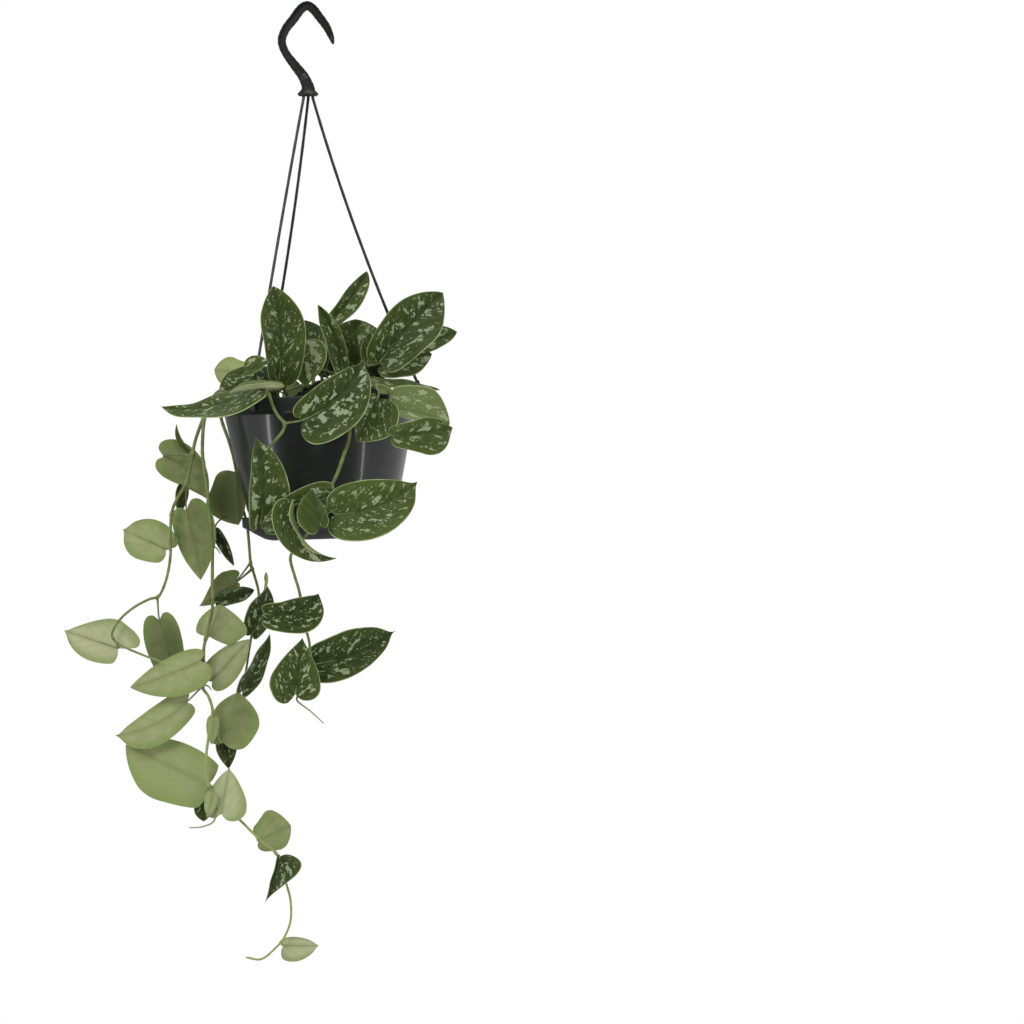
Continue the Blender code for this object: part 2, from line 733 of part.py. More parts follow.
vine("vine_front_left", (280, -44), (
    (276, 391, -50), (269, 391, -60), (271, 397, -71), (276, 410, -76), (281, 418, -78), (286, 424, -79),
    (284, 432, -79), (276, 442, -78), (269, 452, -76), (263, 480, -71), (262, 508, -70), (262, 524, -73),
), (1.4, 1.0), 0.8, (
    leaf(3.2, (282, 388, -76), (231, 394, -86), (0, -0.3, 1), 0.28, fold=50, form=-1.2),
    leaf(7.0, (306, 420, -88), (365, 362, -94), (-0.05, -1, 0.2), (0.78, 0.52), fold=5, curl=10, sweep=44,
         form=(-0.2, -0.1), drip=0.4),
    leaf(12.9, (262, 523, -76), (257, 438, -84), FRONT, (0.64, 0.34), fold=(8, 20), curl=10, sweep=28,
         form=(0.2, 0), drip=0.3),
), (
    (((270, 394, -66), (262, 397, -70), (254, 404, -74)), 1.0),
))

vine("vine_front_mid", (348, -42), (
    (350, 391, -52), (352, 389, -66), (353, 396, -78), (352, 420, -81), (350, 440, -82), (345, 455, -82),
    (340, 470, -82), (333, 486, -82), (330, 497, -80), (318, 520, -80), (300, 545, -82), (292, 557, -83),
    (296, 575, -82), (300, 588, -82), (303, 602, -81), (308, 630, -80), (311, 648, -79), (306, 680, -79),
    (299, 697, -80),
), (1.6, 0.9), 0.8, (
    leaf(9.0, (331, 496, -84), (262, 528, -84), FRONT, (0.5, 0.45), form=0),
    leaf(9.5, (337, 514, -88), (418, 482, -92), FRONT, 0.67, fold=6, sweep=42, form=(-0.3, 0.1),
         drip=0.4),
    leaf(9.8, (322, 524, -97), (314, 489, -92), FRONT, (0.5, 1.2), fold=10, form=(1.2, 0.2),
         lobe=(0.9, 2.2)),
    leaf(10.6, (295, 508, -92), (338, 558, -100), (-0.3, -0.9, -0.1), (0.62, 0.26), fold=(10, 90),
         curl=10,
         sweep=86, form=(0.9, 0.6)),
    leaf(16.0, (267, 613, -88), (320, 593, -92), (0, -1, -0.2), (0.62, 0.44), sweep=62, form=(-2.2, -0.4),
         drip=0.3),
    leaf(19.5, (297, 692, -86), (304, 637, -88), FRONT, (0.88, 0.98), form=1, lobe=(0.8, 1.6)),
    leaf(18.0, (317, 663, -72), (396, 630, -70), (0, -1, -0.1), (0.50, 0.56), sweep=28, form=(0.5, -0.5),
         drip=0.6),
), (
    (((299, 694, -80), (299, 700, -80), (312, 710, -80), (325, 722, -79)), 0.8),
    (((333, 484, -82), (335, 489, -86), (338, 495, -87)), 1.5),
))

vine("vine_left_outer", (262, -14), (
    (256, 392, -14), (238, 388, -14), (222, 390, -15), (210, 402, -17), (203, 420, -19), (196, 440, -20),
    (193, 455, -20), (190, 470, -20), (187, 483, -20), (177, 500, -20), (172, 515, -20), (171, 540, -21),
    (171, 556, -21), (168, 575, -21), (163, 590, -21), (158, 597, -22), (150, 599, -22), (135, 607, -24),
    (122, 618, -26), (114, 630, -27), (114, 638, -28), (124, 646, -30), (145, 655, -34), (162, 661, -40),
), (1.5, 0.8), 0.7, (
    leaf(8.0, (165, 457, -12), (207, 499, -6), (0.1, 0.95, -0.2), (0.7, 0.62), sweep=50, form=0.5,
         lobe=(1.3, 0.9)),
    leaf(7.9, (190, 452, -14), (177, 424, -10), (-0.2, -1, 0), 0.2, sweep=-60),
    leaf(10.0, (183, 487, -12), (179, 514, -8), (0.3, -1, 0), 0.5),
    leaf(9.9, (187, 511, -12), (201, 580, -8), BACK, (0.72, 0.48), lobe=(1.4, 0.6)),
    leaf(12.0, (166, 549, -14), (123, 529, -16), BACK, (0.82, 0.95), form=(-0.9, -0.2), lobe=(0.8, 2.0),
         drip=0.6),
    leaf(22.0, (118, 648, -20), (65, 630, -22), BACK, (0.72, 0.98), form=(-0.4, 1.1), lobe=(0.5, 2.6),
         drip=0.3),
    leaf(17.0, (160, 621, -14), (176, 692, 0), BACK, (0.48, 0.52), form=0),
))

vine("vine_left_long", (256, -30), (
    (250, 393, -30), (238, 389, -30), (224, 391, -29), (212, 402, -27), (205, 420, -26), (203, 450, -26),
    (205, 468, -26), (208, 490, -26), (211, 520, -26), (213, 545, -26), (213, 580, -26), (213, 608, -26),
    (209, 628, -26), (205, 645, -26), (203, 665, -22), (203, 686, -22), (209, 696, -24), (213, 708, -26),
    (213, 720, -26), (210, 733, -26), (208, 745, -26), (207, 755, -26), (207, 770, -26), (210, 786, -26),
    (218, 798, -22), (232, 812, -20), (243, 822, -21), (252, 831, -23), (264, 842, -25), (276, 852, -25),
    (282, 866, -22), (287, 884, -22), (291, 900, -24), (291, 920, -26), (285, 936, -27), (277, 946, -28),
    (262, 958, -29), (246, 956, -30),
), (1.5, 0.8), 0.7, (
    leaf(14.6, (209, 636, -20), (221, 604, -14), (0, 1, 0.2), (0.85, 1.75), form=(0.3, -1.3), lobe=0.3),
    leaf(15.4, (200, 661, -32), (131, 687, -34), BACK, (0.70, 0.44), sweep=8),
    leaf(15.6, (213, 680, -22), (250, 639, -14), BACK, 0.6, form=0.2),
    leaf(17.0, (187, 702, -20), (116, 735, -26), BACK, (0.46, 0.42), sweep=36, form=(-1.4, 0.3),
         lobe=(0.6, 1), drip=0.5),
    leaf(19.5, (214, 718, -30), (212, 744, -30), BACK, 0.5),
    leaf(19.8, (223, 741, -20), (239, 692, -14), BACK, (0.72, 1.08), form=(-0.2, -0.8)),
    leaf(20.5, (226, 741, -12), (229, 769, -10), FRONT, 0.8, fold=20, form=0.8),
    leaf(24.9, (209, 784, -20), (126, 745, -10), BACK, (0.72, 0.58), form=(-1.0, -0.3), lobe=(0.4, 0.2)),
    leaf(25.2, (222, 812, -30), (230, 766, -28), BACK, (0.8, 1.05), form=(0.9, 0.9), lobe=1.1, drip=0.5),
    leaf(25.1, (213, 793, -33), (209, 816, -34), BACK, 0.6),
    leaf(25.0, (203, 796, -14), (204, 821, -12), FRONT, 0.66, form=-1),
    leaf(29.5, (259, 840, -18), (291, 825, -10), BACK, (1.0, 0.85), form=(-2, -1.2), lobe=(1, 1.5)),
    leaf(31.0, (280, 856, -28), (266, 902, -34), FRONT, (0.14, 0.98), fold=(60, 8), form=(1.4, 1.7),
         lobe=(0.3, 0.6)),
    leaf(36.5, (284, 945, -22), (319, 945, -16), BACK, (0.5, 0.9), form=0.1, lobe=0.6, drip=0.3),
), (
    (((210, 788, -26), (216, 805, -29), (215, 820, -31), (203, 826, -30), (190, 827, -28)), 0.9),
    (((213, 545, -26), (218, 549, -27), (221, 554, -27)), 0.7),
    (((203, 684, -22), (209, 686, -24), (212, 690, -24)), 0.7),
))

vine("vine_left_back", (262, 18), (
    (255, 392, 20), (240, 388, 22), (226, 390, 24), (219, 402, 25), (221, 420, 26), (228, 440, 27),
    (233, 458, 30), (237, 480, 35), (241, 505, 37), (246, 523, 35), (248, 540, 32), (250, 563, 30),
    (253, 573, 29), (258, 592, 26), (257, 610, 24), (252, 632, 18), (249, 650, 12), (246, 670, 6),
    (243, 688, 2),
), (1.5, 0.8), 0.7, (
    leaf(8.7, (235, 472, 22), (238, 525, 22), BACK, (0.32, 0.95), fold=4, form=(-0.6, -1.8)),
    leaf(10.0, (216, 532, 10), (234, 566, 4), FRONT, 0.3, fold=20, form=0),
    leaf(13.0, (233, 583, 20), (199, 606, 2), BACK, (0.4, 0.64), form=(0.3, 1.5), lobe=(1, 1.7)),
    leaf(13.6, (217, 602, 5), (254, 590, 14), (0.3, -1, 0.3), 0.36, form=-1),
    leaf(17.0, (252, 634, 14), (266, 572, 10), (0.7, -0.7, 0), 0.42, twist=150, sweep=10, form=-1.2),
    leaf(19.9, (243, 690, 0), (270, 634, -4), (0.9, -0.6, 0), 0.5),
))

vine("vine_back_short", (312, 30), (
    (312, 388, 32), (314, 374, 36), (318, 362, 42),
), (1.3, 0.9), 0.8, (
    leaf(3.0, (297, 372, 44), (283, 334, 60), (0, 1, 0.6), (0.8, 0.7), sweep=10),
    leaf(3.9, (326, 364, 50), (343, 330, 68), (0, 1, 0.6), (0.7, 0.8), sweep=-10),
    leaf(2.4, (346, 372, 46), (392, 352, 62), (0.2, 0.7, 0.9), 0.7, form=0),
    leaf(3.4, (300, 386, 77), (290, 424, 94), (0, 1, 0.5), 0.75),
))

vine("vine_back_trailing", (350, 35), (
    (350, 390, 40), (350, 382, 50), (350, 382, 62), (351, 388, 74), (352, 402, 82), (351, 420, 84),
    (347, 440, 84), (342, 460, 83), (340, 482, 82), (343, 502, 82), (348, 518, 82),
), (1.4, 0.9), 0.8, (
    leaf(5.5, (372, 392, 80), (392, 432, 92), (0, 1, 0.4), (0.8, 0.7)),
    leaf(7.6, (330, 424, 88), (298, 456, 94), (0, 1, 0.2), (0.7, 0.8), sweep=20),
    leaf(9.6, (358, 458, 88), (386, 496, 92), (0, 1, 0.2), 0.75, sweep=-15),
    leaf(11.6, (326, 484, 86), (298, 508, 88), (0, 1, 0.1), (0.8, 0.7)),
))

soil = joined(soil, "DIFFERENCE", holes)

for obj in parts.objects:
    obj.data.shade_smooth()
    obj.data.set_sharp_from_angle(angle=math.radians(40))
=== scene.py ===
"""Looks of a satin pothos that hangs by a hook in a black pot.

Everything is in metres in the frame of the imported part: the origin is inside
the hook's top, -Y is the front and the pot hangs 0.29 m below.
"""

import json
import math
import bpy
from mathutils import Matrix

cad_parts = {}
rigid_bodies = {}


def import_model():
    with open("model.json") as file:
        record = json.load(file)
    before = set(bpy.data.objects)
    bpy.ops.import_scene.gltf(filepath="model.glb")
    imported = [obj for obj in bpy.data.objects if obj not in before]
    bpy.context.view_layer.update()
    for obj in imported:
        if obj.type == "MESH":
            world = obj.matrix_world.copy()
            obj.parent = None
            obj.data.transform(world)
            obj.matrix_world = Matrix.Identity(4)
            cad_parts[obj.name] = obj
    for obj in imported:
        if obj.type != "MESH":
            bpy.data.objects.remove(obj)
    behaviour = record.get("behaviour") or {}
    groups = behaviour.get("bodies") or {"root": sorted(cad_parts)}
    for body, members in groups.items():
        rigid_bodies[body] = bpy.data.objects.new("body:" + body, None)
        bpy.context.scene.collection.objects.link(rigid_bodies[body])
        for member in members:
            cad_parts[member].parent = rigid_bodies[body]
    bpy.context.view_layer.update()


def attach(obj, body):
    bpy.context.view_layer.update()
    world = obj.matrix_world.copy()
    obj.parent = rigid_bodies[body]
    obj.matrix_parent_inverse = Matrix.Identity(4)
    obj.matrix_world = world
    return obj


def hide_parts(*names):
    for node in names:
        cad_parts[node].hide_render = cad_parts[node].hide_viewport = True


bl_info = {
    "name": "Hanging satin pothos",
    "version": (1, 0, 0),
    "blender": (4, 5, 0),
    "location": "View3D > Sidebar > Pothos",
    "description": "Dresses a hanging satin pothos: vines, leaves, soil, pot, saucer, strands and hook",
    "category": "Object",
}

from collections import namedtuple

import bpy
import numpy as np
from bpy.props import FloatProperty, FloatVectorProperty, IntProperty, PointerProperty
from mathutils import Matrix, Vector, noise

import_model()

# Places on the front elevation are read on the drawing grid of the part: steps
# across from the left, steps down from the top, then millimetres away from the
# viewer. One step is GRID wide, and the origin lies at 307, 11.
GRID = 0.00075
ORIGIN_ACROSS = 307
ORIGIN_DOWN = 11
MILLIMETRE = 0.001

RIM_CENTRE = (319, 396.5, 0)
POT_LEAN = math.radians(1.7)
RIM_RADIUS = 0.075
RIM_HEIGHT = 0.0127
WALL = 0.0016
POT_HEIGHT = 0.093
POT_FOOT_RADIUS = 0.0545
POT_NECK_RADIUS = 0.0713
SAUCER_RADIUS = 0.0604
SAUCER_TOP = -0.089
SAUCER_LEDGE = -0.0933
SAUCER_BASE = -0.107
SAUCER_BASE_RADIUS = 0.038
SOIL_AT_WALL = -0.008
SOIL_MOUND = 0.022
SOIL_MOUND_SPREAD = 0.024
SOIL_MOUND_OFFSET = 0.014
COLLAR_RADIUS = 0.0078
COLLAR_TOP = -0.0603
COLLAR_BASE = -0.0640
STRAND_RADIUS = 0.0011


def place(across, down, depth):
    """The point in metres at a grid place, depth millimetres behind the origin."""
    x = (across - ORIGIN_ACROSS) * GRID
    z = -(down - ORIGIN_DOWN) * GRID
    return np.array((x, depth * MILLIMETRE, z))


RIM_POINT = place(*RIM_CENTRE)
POT_PLACE = Matrix.Translation(Vector(RIM_POINT)) @ Matrix.Rotation(-POT_LEAN, 4, "Y")


# Sizes and colours that a user may change


def colour_setting(name, description, default):
    return FloatVectorProperty(
        name=name, description=description, default=default, size=3, min=0.0, max=1.0, subtype="COLOR"
    )


def length_setting(name, description, default, low, high):
    return FloatProperty(
        name=name, description=description, default=default, min=low, max=high,
        subtype="DISTANCE", unit="LENGTH",
    )


def count_setting(name, description, default, low, high):
    return IntProperty(name=name, description=description, default=default, min=low, max=high)


class LeafSettings(bpy.types.PropertyGroup):
    thickness: length_setting("Thickness", "How thick a blade is", 0.0005, 0.0002, 0.001)
    quilting: length_setting("Quilting", "How far a blade swells between side veins", 0.00010, 0.0, 0.001)
    groove: length_setting("Groove", "How deep the midrib lies in the upper side", 0.00045, 0.0, 0.001)
    wave: length_setting("Wave", "How far the margin of a long leaf waves", 0.0011, 0.0, 0.003)
    vein_spacing: length_setting("Vein spacing", "How far apart side veins start", 0.0115, 0.002, 0.02)
    rows: count_setting("Rows", "Rows of faces along a blade", 40, 8, 80)
    deep: colour_setting("Deep green", "Upper side beside the midrib", (0.020, 0.034, 0.0078))
    fresh: colour_setting("Fresh green", "Upper side towards the margin", (0.068, 0.100, 0.020))
    silver: colour_setting("Silver", "Flecks on the upper side", (0.300, 0.350, 0.205))
    margin: colour_setting("Margin", "The thin pale line round a blade", (0.330, 0.390, 0.190))
    under: colour_setting("Underside", "The pale underside of a blade", (0.262, 0.300, 0.125))
    under_pale: colour_setting("Pale underside", "Underside of the palest blades", (0.410, 0.435, 0.250))
    # Painted shade: the darker green given to the undersides of blades that lie in shadow
    under_shade: colour_setting("Shaded underside", "Underside of the darkest blades", (0.110, 0.130, 0.050))


class VineSettings(bpy.types.PropertyGroup):
    swelling: FloatProperty(
        name="Swelling", description="How much thicker a stem is at a node", default=0.45, min=0.0, max=1.0
    )
    stem: colour_setting("Stem", "Green of stems and leaf stalks", (0.165, 0.205, 0.070))
    stem_shade: colour_setting("Stem shade", "Darker green in patches of the stems", (0.074, 0.100, 0.033))
    scar: colour_setting("Scar", "Brown of node scars and roots", (0.150, 0.120, 0.060))


class PotSettings(bpy.types.PropertyGroup):
    steps: count_setting("Steps", "Faces round the pot", 144, 32, 256)
    rounding: length_setting("Rounding", "Radius of the pot's edges", 0.0005, 0.0001, 0.002)
    plastic: colour_setting("Plastic", "Black of the pot and its saucer", (0.0122, 0.0152, 0.0128))


class HookSettings(bpy.types.PropertyGroup):
    rounding: length_setting("Rounding", "Radius of the hook's edges", 0.0003, 0.0001, 0.001)
    plastic: colour_setting("Plastic", "Green-black of the hook and strands", (0.0125, 0.0155, 0.0125))


class SoilSettings(bpy.types.PropertyGroup):
    crumbs: count_setting("Crumbs", "Bits of bark and peat on the soil", 520, 0, 3000)
    peat: colour_setting("Peat", "Dark of the damp soil", (0.0085, 0.0075, 0.0060))
    bark: colour_setting("Bark", "Brown of the dry bits", (0.030, 0.022, 0.014))


class StageSettings(bpy.types.PropertyGroup):
    distance: length_setting("Camera distance", "From the camera to the plant", 12.0, 2.0, 30.0)
    key: FloatProperty(
        name="Key", description="Power of the main softbox", default=60.0, min=0.0, unit="POWER"
    )
    sky: FloatProperty(name="Sky", description="Strength of the white surroundings", default=0.75, min=0.0)


# Curves and leaf forms, as the part has them


# Half a leaf in rows from its base to its tip: share of the midrib, share along
# at the margin, and half the width, where the widest leaf has 0.5
OVAL = (
    (0.00, -0.040, 0.040), (0.03, -0.095, 0.145), (0.08, -0.085, 0.290), (0.15, -0.005, 0.410),
    (0.26, 0.135, 0.482), (0.40, 0.320, 0.500), (0.54, 0.500, 0.468), (0.68, 0.675, 0.378),
    (0.82, 0.830, 0.235), (0.93, 0.940, 0.095), (1.00, 1.000, 0.000),
)
HEART = (
    (0.00, -0.055, 0.040), (0.03, -0.125, 0.140), (0.08, -0.120, 0.290), (0.15, -0.040, 0.420),
    (0.26, 0.100, 0.495), (0.40, 0.290, 0.475), (0.54, 0.480, 0.385), (0.68, 0.660, 0.265),
    (0.82, 0.820, 0.140), (0.93, 0.935, 0.045), (1.00, 1.000, 0.000),
)
# Shares of the way from the midrib to the margin where a blade has points
COLUMNS = (0.0, 0.03, 0.08, 0.16, 0.27, 0.39, 0.52, 0.65, 0.77, 0.88, 0.955, 1.0)
MIDRIB_STEPS = 48
VEIN_SLANT = 1.5
VEIN_ARCH = 26.0
GROOVE_WIDTH = 0.0013
MARGIN_WAVES = 1.9
LEFT_WAVE_LEADS = 0.35
GROOVE_ENDS = 1.15
LONG_LEAF = 0.06

Leaf = namedtuple("Leaf", "at base tip face wide fold curl sweep twist form lobe drip silver tone")
Rib = namedtuple("Rib", "shares points runs sides ups length")
Vine = namedtuple("Vine", "name foot route thick stalk leaves roots")


def pair(value):
    return value if isinstance(value, tuple) else (value, value)


def leaf(at, base, tip, face, wide, fold=8, curl=15, sweep=0, twist=0, form=0.3, lobe=1.0, drip=0,
         silver=0.35, tone=0.0):
    """A leaf, whose stalk leaves the vine at a place of its route.

    base and tip are grid places. face is roughly where its upper side looks.
    wide is its width as a share of its length. fold is how far each half is
    lifted about the midrib, curl how far the midrib arches, sweep how far it
    bends sideways and twist how far it turns, in degrees. form runs from blunt
    (-2) over oval (0) to heart (1), lobe stretches the basal lobes and drip
    draws the tip out to a point. A pair gives the right half, then the left,
    seen from above. silver is how much of the upper side is flecked, and tone
    how light its green is. It is partly the leaf's own green and partly painted
    shade: a low tone darkens leaves that lie in shadow.
    """
    return Leaf(
        at, place(*base), place(*tip), face, pair(wide), pair(fold), curl, sweep, twist, pair(form),
        pair(lobe), drip, silver, tone,
    )


def unit(vector):
    vector = np.asarray(vector, dtype=float)
    return vector / np.linalg.norm(vector)


def on_route(route, at):
    """The point of a Catmull-Rom curve through a route: 2.5 is midway between its points 2 and 3."""
    known = np.array(route, dtype=float)
    known = np.vstack([2 * known[0] - known[1], known, 2 * known[-1] - known[-2]])
    first = max(0, min(int(at), len(route) - 2))
    a, b, c, d = known[first:first + 4]
    share = at - first
    return 0.5 * (
        2 * b
        + (c - a) * share
        + (2 * a - 5 * b + 4 * c - d) * share ** 2
        + (3 * b - a - 3 * c + d) * share ** 3
    )


def smooth_line(points, count):
    """count + 1 points, evenly spread by place, on a curve through the given ones."""
    return np.array([on_route(points, at) for at in np.linspace(0, len(points) - 1, count + 1)])


def midrib(row):
    """The line of a leaf's midrib, with its directions, sides and upper normals at even shares of it."""
    shares = np.linspace(0, 1, MIDRIB_STEPS + 1)

    def heading(share):
        bend = math.radians(row.curl) * (share - 0.5)
        turn = math.radians(row.sweep) * (share - 0.5)
        flat = np.cos(bend)
        return np.stack([flat * np.cos(turn), flat * np.sin(turn), -np.sin(bend)], -1)

    steps = heading((shares[1:] + shares[:-1]) / 2) / MIDRIB_STEPS
    drawn = np.vstack([np.zeros(3), np.cumsum(steps, 0)])
    along = unit(drawn[-1])
    side = unit(np.cross((0, 0, 1), along))
    drawn_frame = np.stack([along, side, np.cross(along, side)])
    run = unit(row.tip - row.base)
    look = np.asarray(row.face, dtype=float)
    up = unit(look - (look @ run) * run)
    real_frame = np.stack([run, np.cross(up, run), up])
    turn = drawn_frame.T @ real_frame
    length = np.linalg.norm(row.tip - row.base) / np.linalg.norm(drawn[-1])
    points = row.base + length * (drawn @ turn)
    runs = heading(shares) @ turn
    sides = np.cross(np.tile(up, (MIDRIB_STEPS + 1, 1)), runs)
    sides /= np.linalg.norm(sides, axis=1)[:, None]
    ups = np.cross(runs, sides)
    twist = np.radians(row.twist) * (shares - 0.5)
    cosine = np.cos(twist)[:, None]
    sine = np.sin(twist)[:, None]
    return Rib(shares, points, runs, sides * cosine + ups * sine, ups * cosine - sides * sine, length)


def read_along(rib, values, where):
    """Vectors read along a midrib at shares of it."""
    return np.stack([np.interp(where, rib.shares, values[:, axis]) for axis in range(3)], -1)


def drawn_half(form, drip, count):
    """Half a blade's drawn rows, read at count + 1 even places from its base to its tip."""
    drawn = np.array(OVAL) * (1 - form) + np.array(HEART) * form
    drawn[-2][2] *= 1 - drip
    found = smooth_line(drawn, count)
    found[-1][2] = 0.0
    return found


def blade_surface(row, settings, seed):
    """Points of a leaf's middle surface, with how far along, across and towards the margin each lies.

    The arrays run from the base row to the tip, and from the right margin over
    the midrib to the left one.
    """
    rib = midrib(row)
    reach = min(1.0, rib.length / LONG_LEAF)
    part = np.array(COLUMNS)[None, :]
    halves = []
    for half, way in ((0, -1), (1, 1)):
        start, margin, half_width = drawn_half(row.form[half], row.drip, settings.rows).T[:, :, None]
        margin = np.where(margin < 0, margin * row.lobe[half], margin)
        along = start + (margin - start) * part
        on_rib = np.clip(along, 0, 1)
        run, side, up = (read_along(rib, values, on_rib) for values in (rib.runs, rib.sides, rib.ups))
        lift = math.radians(row.fold[half])
        outward = math.cos(lift) * way * side + math.sin(lift) * up
        normal = math.cos(lift) * up - math.sin(lift) * way * side
        across = half_width * part * row.wide[half] * rib.length
        vein = along * rib.length - VEIN_SLANT * across - VEIN_ARCH * across ** 2
        edge = np.broadcast_to(part, along.shape)
        swell = np.sin(math.tau * vein / settings.vein_spacing) * np.sin(math.pi * edge)
        ripple = np.sin(math.tau * (MARGIN_WAVES * along + seed + LEFT_WAVE_LEADS * way)) * edge ** 2
        body = np.clip(half_width * 4, 0, 1)
        groove = np.exp(-(across / GROOVE_WIDTH) ** 2) * np.clip(GROOVE_ENDS - along, 0, 1)
        height = (
            (settings.quilting * swell + settings.wave * ripple * reach) * body
            - settings.groove * groove
        ) * reach
        spot = (
            read_along(rib, rib.points, on_rib)
            + (along - on_rib)[..., None] * rib.length * run
            + across[..., None] * outward
            + height[..., None] * normal
        )
        halves.append((spot, along * rib.length, across * way, edge))
    return [np.concatenate([right[:, :0:-1], left], axis=1) for right, left in zip(*halves)]


# The vines: foot, route, millimetres thick at foot and tip, stalk thickness, leaves and roots


FRONT = (0, -1, 0.1)
BACK = (0, 1, 0)

